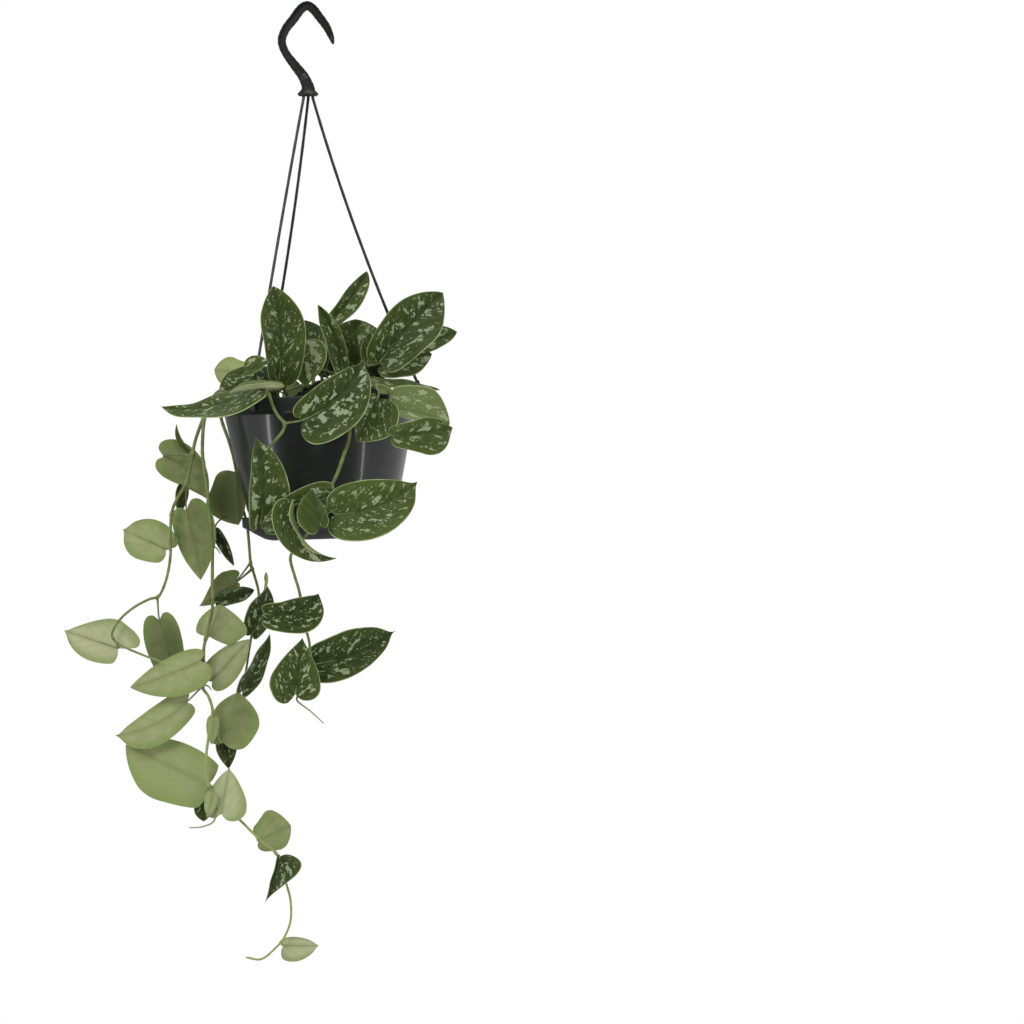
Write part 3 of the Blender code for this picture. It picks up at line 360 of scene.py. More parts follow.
VINES = (
    Vine("vine_crown_left", (272, -30), (
        (268, 390, -31), (258, 380, -33), (250, 373, -35), (246, 370.5, -36),
    ), (1.3, 1.0), 0.8, (
        leaf(4.6, (246, 371, -37), (215, 370, -28), (0, 0.9, -0.3), 0.72, fold=5, curl=30, form=-2, lobe=0.5,
             silver=0.0, tone=0.1),
        leaf(4.4, (249, 372, -61), (271, 362, -67), (-0.1, -0.8, 0.6), (0.6, 1.1), fold=10, curl=10,
             silver=0.55, tone=0.25),
        leaf(2.0, (253, 392, -70), (163, 407, -56), (0, -0.6, 0.8), (0.3, 0.6), curl=10, sweep=-80, form=0.9,
             lobe=0.5, silver=0.3, tone=0.15),
        leaf(2.2, (258, 378, -40), (221, 399, -62), (-0.1, -0.9, 0.3), (0.7, 0.3), form=-0.5,
             silver=0.2, tone=0.1),
    ), ()),
    Vine("vine_crown_tall", (288, -22), (
        (286, 392, -24), (281, 383, -30),
    ), (1.3, 1.1), 0.8, (
        leaf(2.9, (280, 379, -42), (274, 287, -50), (0, -1, 0.05), (0.50, 0.34), fold=(5, 15), curl=10,
             sweep=22, form=(-0.9, -1.8), silver=0.35, tone=0.1),
        leaf(2.0, (310, 372, 8), (305, 320, 14), (0, -1, 0.2), 0.8, fold=10, form=-1.2,
             silver=0.1, tone=-0.1),
        # This leaf fills a dark gap beside the tall leaf, and its low tone paints the shade there
        leaf(1.9, (280, 391, -8), (256, 369, -4), (0, -1, 0.2), 0.9, fold=5, form=-0.5,
             silver=0.2, tone=-0.4),
    ), ()),
    Vine("vine_crown_mid", (322, -6), (
        (321, 368, -6), (322, 348, -4), (325, 325, 0), (328, 317, 2),
    ), (1.3, 0.9), 0.8, (
        leaf(4.9, (330, 322, 2), (367, 271, 8), (-0.2, -0.9, 0.4), (0.42, 0.24), fold=(10, 40), curl=10,
             sweep=24, form=-1, silver=0.5, tone=0.15),
        leaf(1.8, (343, 371, -20), (318, 305, -16), (0, -1, 0.1), (0.22, 0.36), fold=(20, 35), sweep=30,
             form=-0.5, silver=0.5),
        leaf(2.2, (298, 346, -27), (306, 387, -37), (0.1, -0.8, 0.5), (0.7, 1.25), fold=10, curl=20,
             silver=0.95, tone=0.35),
        leaf(1.6, (331, 374, 24), (329, 332, 28), (0, -1, 0.2), 0.85, fold=6, form=-0.8,
             silver=0.3, tone=-0.3),
    ), ()),
    Vine("vine_crown_high", (352, 6), (
        (354, 373, 4), (359, 367, 0), (364, 362, -4),
    ), (1.3, 1.0), 0.8, (
        leaf(3.2, (381, 361, -22), (443, 293, -26), (-0.1, -1, 0.15), (0.58, 0.49), curl=12, sweep=-12,
             form=(-1.3, -0.8), silver=0.38),
        leaf(3.8, (408, 352, -2), (457, 332, 6), (0, -1, 0.4), (0.34, 0.45), fold=10, form=(-1, -1.4),
             silver=0.5, tone=0.3),
        leaf(3.6, (381, 364, -13), (432, 354, -8), (0, -1, 0.4), (0.78, 0.5), fold=10, form=-0.6,
             silver=0.5, tone=0.1),
        leaf(3.9, (358, 364, 2), (355, 319, 12), (0, -1, 0.3), (1.0, 1.25), fold=10, form=-1,
             silver=0.2, tone=0.45),
        leaf(3.9, (374, 361, -8), (376, 329, -2), (0, -1, 0.3), 0.85, fold=10, form=0, silver=0.5),
        leaf(2.3, (374, 377, 16), (370, 340, 24), (0, -1, 0.2), 0.9, fold=6, form=-0.8,
             silver=0.3, tone=-0.3),
    ), ()),
    Vine("vine_crown_right", (366, -30), (
        (368, 390, -36), (374, 387, -46), (381, 386, -55), (388, 389, -62), (392, 396, -66),
    ), (1.3, 1.0), 0.8, (
        leaf(3.5, (378, 400, -74), (358, 442, -86), (0.2, -1, 0.3), (0.45, 1.15), form=-0.5,
             silver=0.25, tone=0.15),
        leaf(5.4, (394, 409, -70), (450, 425, -60), (0.1, -0.75, 0.65), (0.4, 1.0), sweep=-15,
             form=(-1.5, -1), silver=0.6, tone=0.85),
        leaf(5.9, (393, 436, -84), (453, 428, -74), (0.1, -0.9, -0.1), (0.54, 0.42), fold=10, sweep=8,
             form=(-2.6, -1.4), drip=0.35, silver=0.4, tone=0.3),
        leaf(2.3, (374, 380, -36), (440, 390, -30), (0, -0.5, 0.85), (0.52, 0.12), fold=5, form=-0.5,
             silver=0.6, tone=0.2),
    ), ()),
    Vine("vine_front_left", (280, -44), (
        (276, 391, -50), (269, 391, -60), (271, 397, -71), (276, 410, -76), (281, 418, -78), (286, 424, -79),
        (284, 432, -79), (276, 442, -78), (269, 452, -76), (263, 480, -71), (262, 508, -70), (262, 524, -73),
    ), (1.4, 1.0), 0.8, (
        leaf(3.2, (282, 388, -76), (231, 394, -86), (0, -0.3, 1), 0.28, fold=50, form=-1.2,
             silver=0.1, tone=0.9),
        leaf(7.0, (306, 420, -88), (365, 362, -94), (-0.05, -1, 0.2), (0.78, 0.52), fold=5, curl=10, sweep=44,
             form=(-0.2, -0.1), drip=0.4, silver=0.75, tone=-0.1),
        leaf(12.9, (262, 523, -76), (257, 438, -84), FRONT, (0.64, 0.34), fold=(8, 20), curl=10, sweep=28,
             form=(0.2, 0), drip=0.3, silver=0.85, tone=0.1),
    ), (
        (((270, 394, -66), (262, 397, -70), (254, 404, -74)), 1.0),
    )),
    Vine("vine_front_mid", (348, -42), (
        (350, 391, -52), (352, 389, -66), (353, 396, -78), (352, 420, -81), (350, 440, -82), (345, 455, -82),
        (340, 470, -82), (333, 486, -82), (330, 497, -80), (318, 520, -80), (300, 545, -82), (292, 557, -83),
        (296, 575, -82), (300, 588, -82), (303, 602, -81), (308, 630, -80), (311, 648, -79), (306, 680, -79),
        (299, 697, -80),
    ), (1.6, 0.9), 0.8, (
        leaf(9.0, (331, 496, -84), (262, 528, -84), FRONT, (0.5, 0.45), form=0, silver=0.5, tone=0.1),
        leaf(9.5, (337, 514, -88), (418, 482, -92), FRONT, 0.67, fold=6, sweep=42, form=(-0.3, 0.1), drip=0.4,
             silver=0.32, tone=0.3),
        leaf(9.8, (322, 524, -97), (314, 489, -92), FRONT, (0.5, 1.2), fold=10, form=(1.2, 0.2),
             lobe=(0.9, 2.2), silver=-0.1, tone=0.15),
        leaf(10.6, (295, 508, -92), (338, 558, -100), (-0.3, -0.9, -0.1), (0.62, 0.26), fold=(10, 90),
             curl=10, sweep=86, form=(0.9, 0.6), silver=0.5),
        leaf(16.0, (267, 613, -88), (320, 593, -92), (0, -1, -0.2), (0.62, 0.44), sweep=62, form=(-2.2, -0.4),
             drip=0.3, silver=0.35, tone=-0.15),
        leaf(19.5, (297, 692, -86), (304, 637, -88), FRONT, (0.88, 0.98), form=1, lobe=(0.8, 1.6),
             silver=0.42, tone=0.1),
        leaf(18.0, (317, 663, -72), (396, 630, -70), (0, -1, -0.1), (0.50, 0.56), sweep=28, form=(0.5, -0.5),
             drip=0.6, silver=0.42, tone=-0.1),
    ), (
        (((299, 694, -80), (299, 700, -80), (312, 710, -80), (325, 722, -79)), 0.8),
        (((333, 484, -82), (335, 489, -86), (338, 495, -87)), 1.5),
    )),
    Vine("vine_left_outer", (262, -14), (
        (256, 392, -14), (238, 388, -14), (222, 390, -15), (210, 402, -17), (203, 420, -19), (196, 440, -20),
        (193, 455, -20), (190, 470, -20), (187, 483, -20), (177, 500, -20), (172, 515, -20), (171, 540, -21),
        (171, 556, -21), (168, 575, -21), (163, 590, -21), (158, 597, -22), (150, 599, -22), (135, 607, -24),
        (122, 618, -26), (114, 630, -27), (114, 638, -28), (124, 646, -30), (145, 655, -34), (162, 661, -40),
    ), (1.5, 0.8), 0.7, (
        leaf(8.0, (165, 457, -12), (207, 499, -6), (0.1, 0.95, -0.2), (0.7, 0.62), sweep=50, form=0.5,
             lobe=(1.3, 0.9), tone=-0.45),
        leaf(7.9, (190, 452, -14), (177, 424, -10), (-0.2, -1, 0), 0.2, sweep=-60, silver=0.2, tone=0.2),
        leaf(10.0, (183, 487, -12), (179, 514, -8), (0.3, -1, 0), 0.5, silver=0.3, tone=-0.1),
        leaf(9.9, (187, 511, -12), (201, 580, -8), BACK, (0.72, 0.48), lobe=(1.4, 0.6), tone=-0.5),
        leaf(12.0, (166, 549, -14), (123, 529, -16), BACK, (0.82, 0.95), form=(-0.9, -0.2), lobe=(0.8, 2.0),
             drip=0.6, tone=0.3),
        leaf(22.0, (118, 648, -20), (65, 630, -22), BACK, (0.72, 0.98), form=(-0.4, 1.1), lobe=(0.5, 2.6),
             drip=0.3, tone=0.8),
        leaf(17.0, (160, 621, -14), (176, 692, 0), BACK, (0.48, 0.52), form=0, tone=-0.7),
    ), ()),
    Vine("vine_left_long", (256, -30), (
        (250, 393, -30), (238, 389, -30), (224, 391, -29), (212, 402, -27), (205, 420, -26), (203, 450, -26),
        (205, 468, -26), (208, 490, -26), (211, 520, -26), (213, 545, -26), (213, 580, -26), (213, 608, -26),
        (209, 628, -26), (205, 645, -26), (203, 665, -22), (203, 686, -22), (209, 696, -24), (213, 708, -26),
        (213, 720, -26), (210, 733, -26), (208, 745, -26), (207, 755, -26), (207, 770, -26), (210, 786, -26),
        (218, 798, -22), (232, 812, -20), (243, 822, -21), (252, 831, -23), (264, 842, -25), (276, 852, -25),
        (282, 866, -22), (287, 884, -22), (291, 900, -24), (291, 920, -26), (285, 936, -27), (277, 946, -28),
        (262, 958, -29), (246, 956, -30),
    ), (1.5, 0.8), 0.7, (
        leaf(14.6, (209, 636, -20), (221, 604, -14), (0, 1, 0.2), (0.85, 1.75), form=(0.3, -1.3), lobe=0.3,
             tone=0.3),
        leaf(15.4, (200, 661, -32), (131, 687, -34), BACK, (0.70, 0.44), sweep=8, tone=0.25),
        leaf(15.6, (213, 680, -22), (250, 639, -14), BACK, 0.6, form=0.2, tone=0.5),
        leaf(17.0, (187, 702, -20), (116, 735, -26), BACK, (0.46, 0.42), sweep=36, form=(-1.4, 0.3),
             lobe=(0.6, 1), drip=0.5, tone=0.3),
        leaf(19.5, (214, 718, -30), (212, 744, -30), BACK, 0.5, tone=-0.2),
        leaf(19.8, (223, 741, -20), (239, 692, -14), BACK, (0.72, 1.08), form=(-0.2, -0.8), tone=-0.5),
        leaf(20.5, (226, 741, -12), (229, 769, -10), FRONT, 0.8, fold=20, form=0.8, silver=0.3, tone=-0.1),
        leaf(24.9, (209, 784, -20), (126, 745, -10), BACK, (0.72, 0.58), form=(-1.0, -0.3), lobe=(0.4, 0.2)),
        leaf(25.2, (222, 812, -30), (230, 766, -28), BACK, (0.8, 1.05), form=(0.9, 0.9), lobe=1.1, drip=0.5,
             tone=0.75),
        leaf(25.1, (213, 793, -33), (209, 816, -34), BACK, 0.6, tone=0.3),
        leaf(25.0, (203, 796, -14), (204, 821, -12), FRONT, 0.66, form=-1, silver=0.3, tone=0.1),
        leaf(29.5, (259, 840, -18), (291, 825, -10), BACK, (1.0, 0.85), form=(-2, -1.2), lobe=(1, 1.5),
             tone=-0.25),
        leaf(31.0, (280, 856, -28), (266, 902, -34), FRONT, (0.14, 0.98), fold=(60, 8), form=(1.4, 1.7),
             lobe=(0.3, 0.6), silver=0.4, tone=-0.15),
        leaf(36.5, (284, 945, -22), (319, 945, -16), BACK, (0.5, 0.9), form=0.1, lobe=0.6, drip=0.3,
             tone=1.0),
    ), (
        (((210, 788, -26), (216, 805, -29), (215, 820, -31), (203, 826, -30), (190, 827, -28)), 0.9),
        (((213, 545, -26), (218, 549, -27), (221, 554, -27)), 0.7),
        (((203, 684, -22), (209, 686, -24), (212, 690, -24)), 0.7),
    )),
    Vine("vine_left_back", (262, 18), (
        (255, 392, 20), (240, 388, 22), (226, 390, 24), (219, 402, 25), (221, 420, 26), (228, 440, 27),
        (233, 458, 30), (237, 480, 35), (241, 505, 37), (246, 523, 35), (248, 540, 32), (250, 563, 30),
        (253, 573, 29), (258, 592, 26), (257, 610, 24), (252, 632, 18), (249, 650, 12), (246, 670, 6),
        (243, 688, 2),
    ), (1.5, 0.8), 0.7, (
        # Its very low tone paints shade: this leaf hangs in shadow behind the pot
        leaf(8.7, (235, 472, 22), (238, 525, 22), BACK, (0.32, 0.95), fold=4, form=(-0.6, -1.8), tone=-1.2),
        leaf(10.0, (216, 532, 10), (234, 566, 4), FRONT, 0.3, fold=20, form=0, silver=0.2, tone=-0.2),
        leaf(13.0, (233, 583, 20), (199, 606, 2), BACK, (0.4, 0.64), form=(0.3, 1.5), lobe=(1, 1.7),
             tone=-0.45),
        leaf(13.6, (217, 602, 5), (254, 590, 14), (0.3, -1, 0.3), 0.36, form=-1, silver=0.35, tone=-0.2),
        leaf(17.0, (252, 634, 14), (266, 572, 10), (0.7, -0.7, 0), 0.42, twist=150, sweep=10, form=-1.2,
             silver=0.35, tone=-0.1),
        leaf(19.9, (243, 690, 0), (270, 634, -4), (0.9, -0.6, 0), 0.5, silver=0.4, tone=-0.1),
    ), ()),
    Vine("vine_back_short", (312, 30), (
        (312, 388, 32), (314, 374, 36), (318, 362, 42),
    ), (1.3, 0.9), 0.8, (
        leaf(3.0, (297, 372, 44), (283, 334, 60), (0, 1, 0.6), (0.8, 0.7), sweep=10, silver=0.5),
        leaf(3.9, (326, 364, 50), (343, 330, 68), (0, 1, 0.6), (0.7, 0.8), sweep=-10, silver=0.4, tone=0.1),
        leaf(2.4, (346, 372, 46), (392, 352, 62), (0.2, 0.7, 0.9), 0.7, form=0, silver=0.6),
        # Its low tone paints the shade that this back leaf's underside lies in
        leaf(3.4, (300, 386, 77), (290, 424, 94), (0, 1, 0.5), 0.75, silver=0.45, tone=-1.0),
    ), ()),
    Vine("vine_back_trailing", (350, 35), (
        (350, 390, 40), (350, 382, 50), (350, 382, 62), (351, 388, 74), (352, 402, 82), (351, 420, 84),
        (347, 440, 84), (342, 460, 83), (340, 482, 82), (343, 502, 82), (348, 518, 82),
    ), (1.4, 0.9), 0.8, (
        leaf(5.5, (372, 392, 80), (392, 432, 92), (0, 1, 0.4), (0.8, 0.7), silver=0.5),
        leaf(7.6, (330, 424, 88), (298, 456, 94), (0, 1, 0.2), (0.7, 0.8), sweep=20, silver=0.7),
        leaf(9.6, (358, 458, 88), (386, 496, 92), (0, 1, 0.2), 0.75, sweep=-15, silver=0.4, tone=0.2),
        leaf(11.6, (326, 484, 86), (298, 508, 88), (0, 1, 0.1), (0.8, 0.7), silver=0.45),
    ), ()),
)


# Small modelling helpers


WELD = 0.00001
GRID_WELD = 0.00002


def nothing_selected():
    for other in bpy.context.selected_objects:
        other.select_set(False)


def alone(obj):
    """Makes one object the only selected one, and the active one."""
    nothing_selected()
    obj.select_set(True)
    bpy.context.view_layer.objects.active = obj
    return obj


def applied(obj):
    """Applies the object's modifiers in order."""
    alone(obj)
    for step in list(obj.modifiers):
        bpy.ops.object.modifier_apply(modifier=step.name)
    return obj


def placed(obj, matrix=None):
    """Puts a piece's place into its mesh, and then moves it by a matrix if one is given."""
    alone(obj)
    bpy.ops.object.transform_apply(location=True, rotation=True, scale=True)
    if matrix is not None:
        obj.data.transform(matrix)
    return obj


def welded(obj, gap, next_step=None):
    """Merges points closer than a gap, and then runs one more step in edit mode if it is given."""
    alone(obj)
    bpy.ops.object.mode_set(mode="EDIT")
    bpy.ops.mesh.select_all(action="SELECT")
    bpy.ops.mesh.remove_doubles(threshold=gap)
    if next_step is not None:
        next_step()
    bpy.ops.object.mode_set(mode="OBJECT")
    return obj


def edges_rounded(obj, width, segments=3, angle=35):
    """Bevels the edges that are sharper than an angle."""
    step = obj.modifiers.new("rounding", "BEVEL")
    step.width = width
    step.segments = segments
    step.limit_method = "ANGLE"
    step.angle_limit = math.radians(angle)
    step.harden_normals = False
    return applied(obj)


def smooth(obj, angle=35):
    alone(obj)
    bpy.ops.object.shade_smooth_by_angle(angle=math.radians(angle))
    return obj


def named(obj, name, *materials):
    """Gives an object its name and materials."""
    obj.name = name
    obj.data.name = name
    obj.data.materials.clear()
    for surface in materials:
        obj.data.materials.append(surface)
    return obj


def merged(name, pieces):
    """Joins pieces into one object."""
    alone(pieces[0])
    for piece in pieces:
        piece.select_set(True)
    bpy.ops.object.join()
    whole = bpy.context.object
    whole.name = name
    whole.data.name = name
    return whole


def drilled(obj, spots, radius, depth):
    """Cuts a round hole at each spot."""
    for spot in spots:
        nothing_selected()
        bpy.ops.mesh.primitive_cylinder_add(vertices=24, radius=radius, depth=depth, location=spot)
        tool = placed(bpy.context.object)
        step = obj.modifiers.new("cut", "BOOLEAN")
        step.operation = "DIFFERENCE"
        step.object = tool
        step.solver = "EXACT"
        applied(obj)
        bpy.data.objects.remove(tool, do_unlink=True)


def turned(name, profile, steps):
    """A ring drawn out along a closed profile of (radius, height) points, run down the outside."""
    nothing_selected()
    radius, height = profile[0]
    bpy.ops.mesh.primitive_circle_add(vertices=steps, radius=radius, location=(0, 0, height))
    shape = bpy.context.object
    bpy.ops.object.mode_set(mode="EDIT")
    bpy.ops.mesh.select_mode(type="EDGE")
    bpy.ops.mesh.select_all(action="SELECT")
    for next_radius, next_height in profile[1:]:
        bpy.ops.mesh.extrude_edges_move(
            TRANSFORM_OT_translate={"value": (0, 0, next_height - height)}
        )
        ratio = next_radius / radius
        bpy.ops.transform.resize(value=(ratio, ratio, 1.0))
        radius, height = next_radius, next_height
    bpy.ops.object.mode_set(mode="OBJECT")
    shape.name = name
    return placed(welded(shape, GRID_WELD, bpy.ops.mesh.normals_make_consistent))


def sheet(spots):
    """A sheet of quads through an array of points, row by row."""
    rows, columns = spots.shape[:2]
    nothing_selected()
    bpy.ops.mesh.primitive_grid_add(x_subdivisions=columns - 1, y_subdivisions=rows - 1, size=1.0)
    shape = bpy.context.object
    shape.data.vertices.foreach_set("co", spots.reshape(-1).astype(np.float32))
    shape.data.update()
    return shape


def drawn_curve(name, points, radii, **settings):
    """The mesh of a curve along points, with the curve's settings given by name."""
    nothing_selected()
    curve = bpy.data.curves.new(name, "CURVE")
    for key, value in settings.items():
        setattr(curve, key, value)
    line = curve.splines.new("POLY")
    line.points.add(len(points) - 1)
    for point, where, radius in zip(line.points, points, radii):
        point.co = (*where, 1.0)
        point.radius = radius
    line.use_cyclic_u = curve.dimensions == "2D"
    obj = bpy.data.objects.new(name, curve)
    bpy.context.scene.collection.objects.link(obj)
    alone(obj)
    bpy.ops.object.convert(target="MESH")
    return bpy.context.object


def rod(name, points, radii, sides):
    """A round bar along points, with closed ends."""
    bar = drawn_curve(
        name, points, radii, dimensions="3D", bevel_depth=1.0, bevel_resolution=sides, use_fill_caps=True
    )
    return welded(bar, WELD)


def finished(obj, node):
    """Puts a piece in place of a node of the part."""
    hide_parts(node)
    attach(obj, "root")


# Materials


class Value:
    """What a node gives: signs, powers and abs reckon with it, each by a Math node of its own."""

    def __init__(self, graph, socket):
        self.graph = graph
        self.socket = socket

    def __add__(self, other):
        return self.graph.math("ADD", self, other)

    def __sub__(self, other):
        return self.graph.math("SUBTRACT", self, other)

    def __rsub__(self, other):
        return self.graph.math("SUBTRACT", other, self)

    def __mul__(self, other):
        return self.graph.math("MULTIPLY", self, other)

    def __truediv__(self, other):
        return self.graph.math("DIVIDE", self, other)

    def __pow__(self, other):
        return self.graph.math("POWER", self, other)

    def __abs__(self):
        return self.graph.math("ABSOLUTE", self)


class Graph:
    """Adds nodes to a tree: each method adds one and returns the Value that it gives."""

    def __init__(self, tree):
        self.tree = tree

    def wire(self, value, socket):
        if isinstance(value, Value):
            self.tree.links.new(value.socket, socket)
        elif isinstance(value, (int, float)):
            socket.default_value = value
        else:
            socket.default_value = (*value, 1.0)

    def node(self, kind, output, inputs=None, **settings):
        """A node of a kind, with its inputs wired by name or number, and its settings by name."""
        node = self.tree.nodes.new(kind)
        for key, value in settings.items():
            setattr(node, key, value)
        for key, value in (inputs or {}).items():
            self.wire(value, node.inputs[key])
        return Value(self, node.outputs[output])

    def attribute(self, name, output="Fac"):
        return self.node("ShaderNodeAttribute", output, attribute_name=name)

    def math(self, operation, a, b=0.0, clamp=False):
        return self.node("ShaderNodeMath", 0, {0: a, 1: b}, operation=operation, use_clamp=clamp)

    def larger(self, a, b):
        return self.math("MAXIMUM", a, b)

    def split(self, vector):
        first = self.node("ShaderNodeSeparateXYZ", 0, {0: vector})
        return [Value(self, output) for output in first.socket.node.outputs]

    def joined(self, x, y, z):
        return self.node("ShaderNodeCombineXYZ", 0, {0: x, 1: y, 2: z})

    def noise(self, vector, scale, detail=2.0, roughness=0.5, distortion=0.0):
        inputs = {
            "Vector": vector, "Scale": scale, "Detail": detail, "Roughness": roughness,
            "Distortion": distortion,
        }
        return self.node("ShaderNodeTexNoise", "Fac", inputs)

    def step(self, value, low, high, to_low=0.0, to_high=1.0):
        """A smooth step from to_low to to_high as the value goes from low to high."""
        inputs = {"Value": value, "From Min": low, "From Max": high, "To Min": to_low, "To Max": to_high}
        return self.node("ShaderNodeMapRange", 0, inputs, interpolation_type="SMOOTHSTEP")

    def mix(self, share, a, b):
        return self.node("ShaderNodeMix", 2, {0: share, 6: a, 7: b}, data_type="RGBA")


class Surface(Graph):
    """The nodes of one material, round the Principled BSDF that Blender gives it."""

    def __init__(self, name, roughness, specular=0.5):
        self.material = bpy.data.materials.new(name)
        self.material.use_nodes = True
        super().__init__(self.material.node_tree)
        self.shader = self.tree.nodes["Principled BSDF"].inputs
        self.wire(roughness, self.shader["Roughness"])
        self.wire(specular, self.shader["Specular IOR Level"])

    def objects(self):
        return self.node("ShaderNodeTexCoord", "Object")

    def bump(self, height, strength, distance):
        inputs = {"Strength": strength, "Distance": distance, "Height": height}
        self.wire(self.node("ShaderNodeBump", 0, inputs), self.shader["Normal"])

    def done(self, colour, roughness=None):
        self.wire(colour, self.shader["Base Color"])
        if roughness is not None:
            self.wire(roughness, self.shader["Roughness"])
        return self.material


def shaded(colour, *shares):
    """A colour with each channel taken down or up by its share, or all three by the one given."""
    return tuple(share * channel for share, channel in zip(shares * (3 // len(shares)), colour))


def leaf_places(look):
    """Millimetres across, beside and along the midrib, the vein coordinate, the seed and the edge."""
    across, along, seed = look.split(look.attribute("flat", "Vector"))
    beside = abs(across)
    vein = along - (beside * VEIN_SLANT + beside ** 2.0 * (VEIN_ARCH * MILLIMETRE))
    return across, beside, along, vein, seed, look.attribute("edge")


def vein_wave(look, settings, across, along, vein, seed):
    """A cosine that peaks on each side vein, a little unevenly."""
    stray = (look.noise(look.joined(across, along, seed), 0.10) - 0.5) * 9.0
    return look.math("COSINE", (vein + stray) * (math.tau * MILLIMETRE / settings.vein_spacing))


def upper_side(settings):
    """Satin green with silver flecks between the side veins, and a thin pale margin."""
    look = Surface("satin_leaf_upper", 0.42, 0.10)
    across, beside, along, vein, seed, edge = leaf_places(look)
    silver = look.attribute("silver")
    tone = look.attribute("tone")
    # Flecks lie in lanes along the side veins, and are larger where there is more silver
    side = look.math("SIGN", across) * 7.3
    lane = along * 0.88 + beside * 0.47
    row = beside * 0.88 - along * 0.47
    spot = look.joined(
        lane / (silver * 7.5 + 3.4),
        row / (silver ** 2.0 * 7.5 + 2.1),
        seed + side,
    )
    broad = look.noise(spot, 1.0, 3.0, 0.62, 0.25)
    fine = look.noise(spot, 2.3, 2.0, 0.55, 0.2)
    near_rib = look.step(beside / (silver * 2.4 + 1.0), 1.0, 0.3)
    near_margin = look.step(edge, 0.78, 0.93)
    limit = 0.600 - silver * 0.065 + look.larger(near_rib, near_margin) * 0.16
    blotch = look.step(broad, limit, limit + 0.014)
    limit = limit + 0.06
    fleck = look.step(fine, limit, limit + 0.03) * 0.75
    flecks = look.larger(blotch, fleck) * look.step(silver, 0.0, 0.12)
    # The green is deep beside the midrib, fresh at the margin, and pale on the lightest leaves; a low tone
    # darkens a leaf as painted shade where it lies in shadow
    flat = look.joined(across, along, seed)
    mottle = look.noise(flat, 0.14, 3.0, 0.6)
    light = look.math("ADD", edge ** 2.0 * 0.42 + mottle * 0.8, tone - 0.20, clamp=True)
    green = look.mix(light, settings.deep, settings.fresh)
    green = look.mix(look.step(tone, 0.4, 1.1), green, shaded(settings.margin, 0.42, 0.46, 0.33))
    wave = vein_wave(look, settings, across, along, vein, seed)
    green = look.mix(look.step(wave, 0.2, 1.0, 0.0, 0.035), green, settings.margin)
    green = look.mix(look.step(beside, 0.9, 0.2, 0.0, 0.3), green, settings.deep)
    grain = look.noise(flat, 2.2, 2.0, 0.6)
    silvery = look.mix(look.step(grain, 0.25, 0.6), shaded(settings.silver, 0.62), settings.silver)
    colour = look.mix(flecks * 0.88, green, silvery)
    patchy = look.noise(look.joined(seed, side, along * 0.12), 1.0)
    pale_line = look.step(edge, 0.955, 0.98) * look.step(patchy, 0.3, 0.6, 0.35, 0.95)
    colour = look.mix(pale_line, colour, settings.margin)
    rough = 0.47 - flecks * 0.08 + (grain - 0.5) * 0.12
    look.bump(grain * 0.4 + flecks * 0.4, 0.3, 0.00015)
    return look.done(colour, rough)


def under_side(settings):
    """Pale matt green, with a darker line at the midrib and at the arching side veins."""
    look = Surface("satin_leaf_under", 0.65, 0.2)
    across, beside, along, vein, seed, edge = leaf_places(look)
    flat = look.joined(across, along, seed)
    # Tone and noise move the underside between its pale green and the shaded underside; the shaded underside
    # is painted shade on blades that lie in shadow
    drift = look.attribute("tone") + (look.noise(flat, 0.13, 3.0, 0.6) - 0.5) * 0.9
    green = look.mix(look.step(drift, 0.0, 1.0), settings.under, settings.under_pale)
    green = look.mix(look.step(drift, 0.0, -1.0), green, settings.under_shade)
    green = look.mix(look.step(edge, 0.45, 1.0, 0.0, 0.68), green, shaded(settings.under, 0.72, 0.88, 0.55))
    wave = vein_wave(look, settings, across, along, vein, seed)
    grain = look.noise(flat, 1.6, 3.0, 0.65)
    for share in (
        look.step(beside, 3.2, 0.0, 0.0, 0.28),
        look.step(wave, -0.6, 1.0, 0.0, 0.045),
        look.step(wave, 0.95, 0.995, 0.0, 0.14),
        look.step(beside, 0.8, 0.2, 0.0, 0.24),
        grain * 0.14,
    ):
        green = look.mix(share, green, shaded(settings.under, 0.55))
    look.bump(grain * 0.35 + look.step(wave, 0.8, 1.0, 0.0, 0.25), 0.2, 0.00018)
    return look.done(green)


def blade_rim(settings):
    """The pale cut edge of a blade."""
    look = Surface("satin_leaf_rim", 0.55, 0.4)
    grain = look.noise(look.objects(), 900.0)
    return look.done(look.mix(grain, shaded(settings.margin, 0.7), settings.margin))


def stem_green(settings):
    """Green stems with darker patches, paler low down, and brown at nodes and roots."""
    look = Surface("vine_stem", 0.5, 0.25)
    where = look.objects()
    patches = look.step(look.noise(where, 90.0, 3.0, 0.6), 0.38, 0.66)
    green = look.mix(patches * 0.75, settings.stem, settings.stem_shade)
    low = look.step(look.split(where)[2], -0.44, -0.56)
    green = look.mix(low * 0.75, green, shaded(settings.stem, 1.75))
    specks = look.step(look.noise(where, 900.0, 2.0, 0.6), 0.58, 0.70)
    green = look.mix(specks * 0.25, green, settings.scar)
    look.bump(look.noise(where, 700.0, 3.0, 0.6), 0.3, 0.0002)
    return look.done(look.mix(look.attribute("brown"), green, settings.scar))


def black_plastic(name, plastic, roughness, grain, gloss=0.0, shine=0.5):
    """Moulded plastic with faint grain, drifts of dust and a slight change of gloss."""
    look = Surface(name, roughness, shine - 0.25 * gloss)
    look.wire(gloss, look.shader["Coat Weight"])
    look.wire(0.11, look.shader["Coat Roughness"])
    where = look.objects()
    drift = look.noise(where, 16.0, 4.0, 0.6)
    dusty = tuple(min(1.0, channel * 1.6 + 0.006) for channel in plastic)
    colour = look.mix(look.step(drift, 0.45, 0.75), plastic, dusty)
    rough = look.noise(where, 60.0, 3.0) * 0.12 + (roughness - 0.06)
    look.bump(look.noise(where, grain, 3.0, 0.55), 0.10, 0.0002)
    return look.done(colour, rough)


